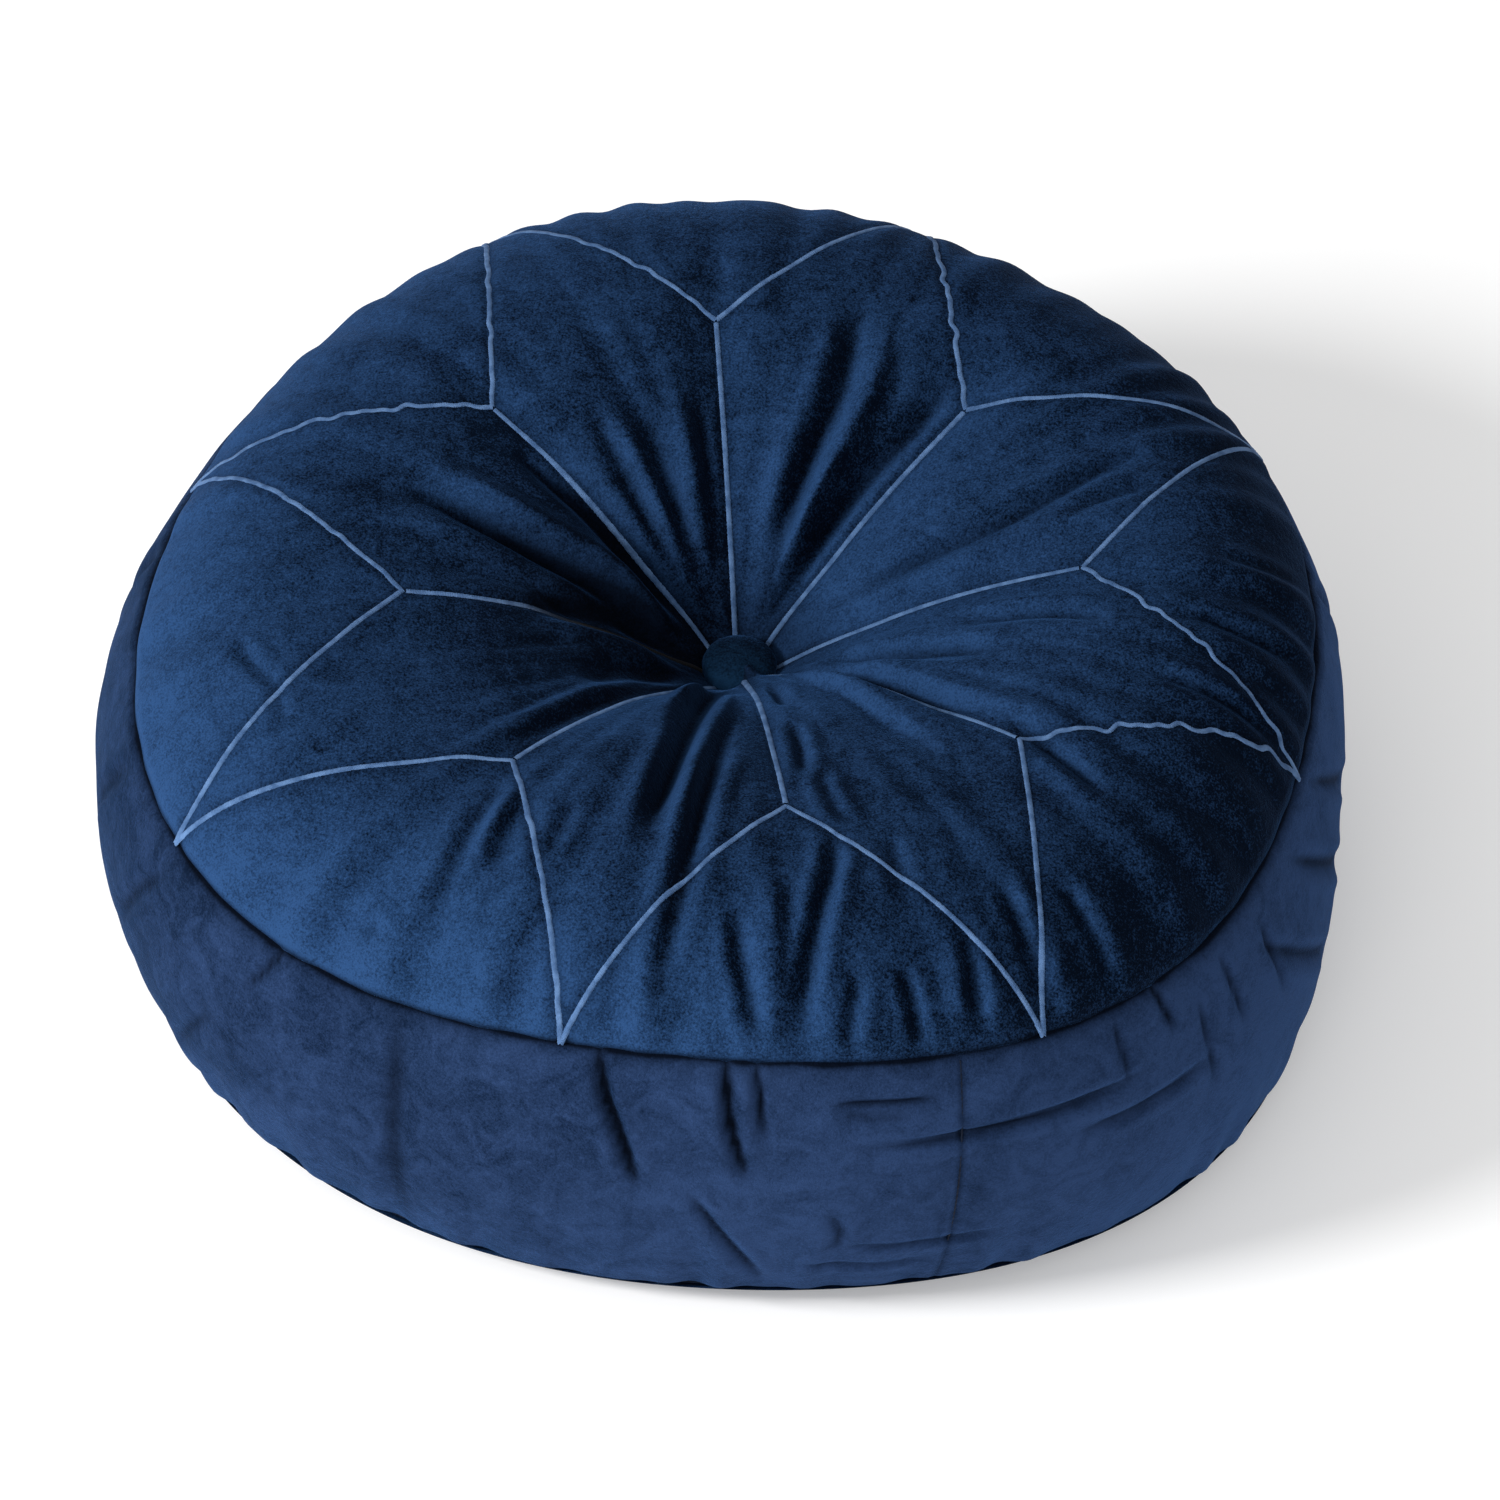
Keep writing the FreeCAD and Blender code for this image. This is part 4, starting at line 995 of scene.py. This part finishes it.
def ribbon(name, paths, cloth, material, nodes):
    """One piece of embroidery made of several stitched lines."""
    random = np.random.RandomState(5)
    all_points, all_faces, spots = [], [], []
    count = 0
    for path in paths:
        points, spot = stitched_line(path, cloth, random)
        faces = np.array(grid_faces(*points.shape[:2], closed=False)) + count
        all_points.append(points.reshape(-1, 3))
        spots.append(spot.reshape(-1, 3))
        all_faces += faces.tolist()
        count += points.shape[0] * points.shape[1]
    mesh = make_mesh(name, np.concatenate(all_points), all_faces)
    spot = mesh.attributes.new("panel", "FLOAT_VECTOR", "POINT")
    spot.data.foreach_set("vector", np.concatenate(spots).reshape(-1).astype(np.float32))
    piece = make_object(name, mesh, material)
    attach(piece, "cushion")
    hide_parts(*nodes)


def embroidery(cloth):
    n = Nodes("satin_stitch")
    spot = n.add("ShaderNodeAttribute", attribute_name="panel").outputs["Vector"]
    parts = n.add("ShaderNodeSeparateXYZ", {0: spot})
    slant = n.math("ADD", parts.outputs["X"], n.math("MULTIPLY", parts.outputs["Y"], 0.25))
    strand = n.math("SINE", n.math("MULTIPLY", slant, TURN / 0.0004))
    place = n.place()
    tone = n.noise(place, 160.0, 2.0)
    colour = n.blend(n.ramp(tone, 0.3, 0.7), (0.060, 0.135, 0.300, 1), (0.125, 0.240, 0.470, 1))
    # Painted shade: the stitches darken towards a near-black in the crease left of the button and close
    # round it.
    colour = n.blend(parts.outputs["Z"], colour, PAINTED_SHADE)
    relief = n.bump(strand, 0.00025, 0.8)
    satin = n.surface(Base_Color=colour, Roughness=0.55, Normal=relief, Specular_IOR_Level=0.2)
    spokes, points = star_lines()
    ribbon("star_spoke_stitches", spokes, cloth, satin, ["star_spokes"])
    ribbon("star_point_stitches", points, cloth, satin, ["star_points"])


def inner_layers():
    """The inner bag and the filling, which follow the stuffed shape under the cover."""
    azimuths = np.arange(128) * TURN / 128
    n = Nodes("inner_cloth")
    place = n.place()
    colour = n.blend(n.noise(place, 300.0, 3.0), (0.72, 0.72, 0.70, 1), (0.84, 0.84, 0.81, 1))
    relief = n.bump(n.noise(place, 900.0, 2.0), 0.0003, 0.5)
    cloth = n.surface(Base_Color=colour, Roughness=0.9, Normal=relief)
    shapes = {}
    radii = np.linspace(HOLE_RADIUS, SEAM_RADIUS, 40)
    shapes["top"] = top_point(*np.meshgrid(radii, azimuths, indexing="ij"))
    shapes["band"] = band_point(*np.meshgrid(np.linspace(0, 1, 14), azimuths, indexing="ij"))
    radii = np.linspace(BASE_SEAM_RADIUS, HOLE_RADIUS, 30)
    shapes["base"] = base_point(*np.meshgrid(radii, azimuths, indexing="ij"))
    centre = np.array([0, 0, 0.1])
    for name, points in shapes.items():
        inner = centre + (points - centre) * np.array([0.93, 0.93, 0.72])
        piece = grid_object(f"inner_bag_{name}", inner, cloth)
        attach(piece, "cushion")
        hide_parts(f"liner_{name}")
    whole = np.concatenate([shapes["top"], shapes["band"][1:], shapes["base"][1:]])
    inner = centre + (whole - centre) * np.array([0.92, 0.92, 0.70])
    piece = grid_object("fibre_fill", inner, cloth)
    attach(piece, "cushion")
    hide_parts("fibre_filling")


SEAM_THREAD = 0.0007
JOIN_THREAD = 0.0005
THREAD_BEAD = 0.25
THREAD_DEPTH = 0.0038


def tube(path, radius, sides, closed, bead, beads):
    """A round cord of thread along a path, thicker at each stitch."""
    if closed:
        along = np.roll(path, -1, axis=0) - np.roll(path, 1, axis=0)
    else:
        along = np.gradient(path, axis=0)
    along /= np.linalg.norm(along, axis=1, keepdims=True)
    out = path * np.array([1, 1, 0])
    out /= np.linalg.norm(out, axis=1, keepdims=True)
    third = np.cross(along, out)
    turn = np.arange(sides) * TURN / sides
    size = radius * (1 + bead * np.cos(np.arange(len(path)) / len(path) * TURN * beads))
    ring = out[:, None] * np.cos(turn)[None, :, None] + third[:, None] * np.sin(turn)[None, :, None]
    return path[:, None] + ring * size[:, None, None]


def tube_object(name, tubes, material, node, closed):
    points, faces, count = [], [], 0
    for tube_points in tubes:
        rows, sides = tube_points.shape[:2]
        own = np.array(grid_faces(rows, sides, closed=True)) + count
        faces += own.tolist()
        if closed:
            last = count + (rows - 1) * sides
            for side in range(sides):
                after = (side + 1) % sides
                faces.append([last + side, last + after, count + after, count + side])
        else:
            faces.append([count + side for side in range(sides)][::-1])
            faces.append([count + (rows - 1) * sides + side for side in range(sides)])
        points.append(tube_points.reshape(-1, 3))
        count += rows * sides
    piece = make_object(name, make_mesh(name, np.concatenate(points), faces), material)
    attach(piece, "cushion")
    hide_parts(node)


def inward(points, depth):
    side = points * np.array([1, 1, 0])
    return points - side / np.linalg.norm(side, axis=-1, keepdims=True) * depth


def seam_threads():
    """The sewing thread at the bottom of each seam's groove."""
    dark = thread("dark_thread", (0.002, 0.005, 0.014, 1), (0.005, 0.011, 0.028, 1), 300.0)
    around = np.arange(1880) * TURN / 1880
    top = inward(top_point(np.full_like(around, SEAM_RADIUS), around), THREAD_DEPTH)
    cord = tube(top, SEAM_THREAD, 5, True, THREAD_BEAD, 470)
    tube_object("seam_thread_top", [cord], dark, "top_seam_thread", True)
    start = PANEL_AZIMUTH + ZIP_SWEEP
    around = np.linspace(start, PANEL_AZIMUTH + TURN, 1400)
    foot = inward(band_point(np.ones_like(around), around), THREAD_DEPTH)
    cord = tube(foot, SEAM_THREAD, 5, False, THREAD_BEAD, 370)
    tube_object("seam_thread_base", [cord], dark, "base_seam_thread", False)
    joins = []
    for azimuth in (PANEL_AZIMUTH - math.pi / 2, PANEL_AZIMUTH + math.pi / 2):
        down = np.linspace(0.02, 0.98, 160)
        line = inward(band_point(down, np.full_like(down, azimuth)), 0.0016)
        joins.append(tube(line, JOIN_THREAD, 5, False, THREAD_BEAD, 40))
    tube_object("seam_threads_side", joins, dark, "band_join_threads", False)


# The button's profile: how far each ring lies below its crest, and its share of the radius.
BUTTON_DROP = np.array([
    0, 0.0002, 0.0006, 0.0013, 0.0022, 0.0034, 0.0048, 0.0062, 0.0085, 0.0110, 0.0140, 0.0165, 0.0175,
])
BUTTON_REACH = np.array([0.06, 0.26, 0.46, 0.64, 0.78, 0.89, 0.96, 0.99, 1.0, 0.995, 0.98, 0.95, 0.86])


def button(end, up):
    """A button covered in velvet, with the small pleats of its gathered edge."""
    low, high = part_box(f"{end}_button_cover")
    radius = (high.x - low.x) / 2
    crest = high.z if up > 0 else low.z
    drop, reach = BUTTON_DROP, BUTTON_REACH
    if up < 0:
        drop, reach = drop[:10], np.append(reach[:9], 0.92)
    columns = 192
    azimuth = np.arange(columns) * TURN / columns
    random = np.random.RandomState(3)
    pleats = np.zeros(columns)
    for turns in (9, 13, 17, 22, 27):
        pleats += random.uniform(0.5, 1) * np.cos(turns * azimuth + random.uniform(0, 6))
    strength = smooth(drop, 0.0030, 0.0080)[:, None] * pleats[None] * 0.00018
    out = reach[:, None] * radius - 0.0003 + strength
    height = crest - up * np.broadcast_to(drop[:, None], out.shape)
    rows = np.stack([out * np.cos(azimuth), out * np.sin(azimuth), height], -1)
    centre = np.array([[[0, 0, crest]]]).repeat(columns, 1)
    faces = grid_faces(len(rows), columns)
    hub = len(rows) * columns
    faces += [[hub, (column + 1) % columns, column] for column in range(columns)]
    if up > 0:
        faces = [face[::-1] for face in faces]
    points = np.concatenate([rows.reshape(-1, 3), centre[0, :1]])
    # Painted light: the button's velvet is drawn lighter on its front and darker at its back.
    dark = velvet(f"{end}_button_velvet", BUTTON_DARK, BUTTON_LIT, (-0.3, -0.85, 0.1))
    piece = make_object(f"{end}_button_cloth", make_mesh(f"{end}_button_cloth", points, faces), dark)
    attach(piece, f"{end}_button")
    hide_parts(f"{end}_button_cover")


def plain_finish(name, dark, lit, scale, relief, roughness, metallic=0.0):
    n = Nodes(name)
    place = n.place()
    tone = n.noise(place, scale, 3.0)
    fine = n.noise(place, scale * 6, 2.0)
    colour = n.blend(n.ramp(tone, 0.25, 0.75), dark, lit)
    spread = {"Value": fine, "To Min": roughness - 0.08, "To Max": roughness + 0.08}
    rough = n.add("ShaderNodeMapRange", spread)
    return n.surface(Base_Color=colour, Roughness=rough.outputs[0], Metallic=metallic,
                     Normal=n.bump(fine, relief, 0.5))


# Each finish: dark and light colour, pattern scale, relief, roughness and, for metal, 1.
FINISHES = {
    "zip_nylon": ((0.004, 0.008, 0.020, 1), (0.008, 0.015, 0.036, 1), 400.0, 0.0001, 0.42),
    "zip_tape": ((0.003, 0.007, 0.019, 1), (0.007, 0.014, 0.034, 1), 900.0, 0.0003, 0.85),
    "zip_metal": ((0.040, 0.048, 0.070, 1), (0.075, 0.085, 0.115, 1), 250.0, 0.00006, 0.34, 1.0),
    "button_shell": ((0.50, 0.50, 0.50, 1), (0.62, 0.62, 0.61, 1), 300.0, 0.0001, 0.4, 1.0),
    "button_back": ((0.02, 0.02, 0.022, 1), (0.035, 0.035, 0.038, 1), 300.0, 0.0001, 0.5),
    "twine": ((0.50, 0.47, 0.40, 1), (0.66, 0.62, 0.54, 1), 700.0, 0.0004, 0.8),
}
FINISHED = {
    "zip_nylon": ["zip_coil_upper", "zip_coil_lower"],
    "zip_tape": ["zip_tape_upper", "zip_tape_lower"],
    "zip_metal": ["zip_stop_start", "zip_stop_end", "zip_slider", "zip_pull"],
    "button_shell": ["top_button_shell", "base_button_shell", "top_button_eye", "base_button_eye"],
    "button_back": ["top_button_back", "base_button_back"],
    "twine": ["tufting_twine"],
}


def finish_cad():
    """Better materials for the CAD parts that stay as they are."""
    for kind, names in FINISHED.items():
        finish = plain_finish(f"{kind}_finish", *FINISHES[kind])
        for name in names:
            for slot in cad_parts[name].material_slots:
                slot.material = finish


def main():
    camera()
    studio()
    floor()
    cloth = settled_top()
    top_panel(cloth)
    band_panels()
    base_panel()
    embroidery(cloth)
    inner_layers()
    seam_threads()
    button("top", 1)
    button("base", -1)
    finish_cad()


main()
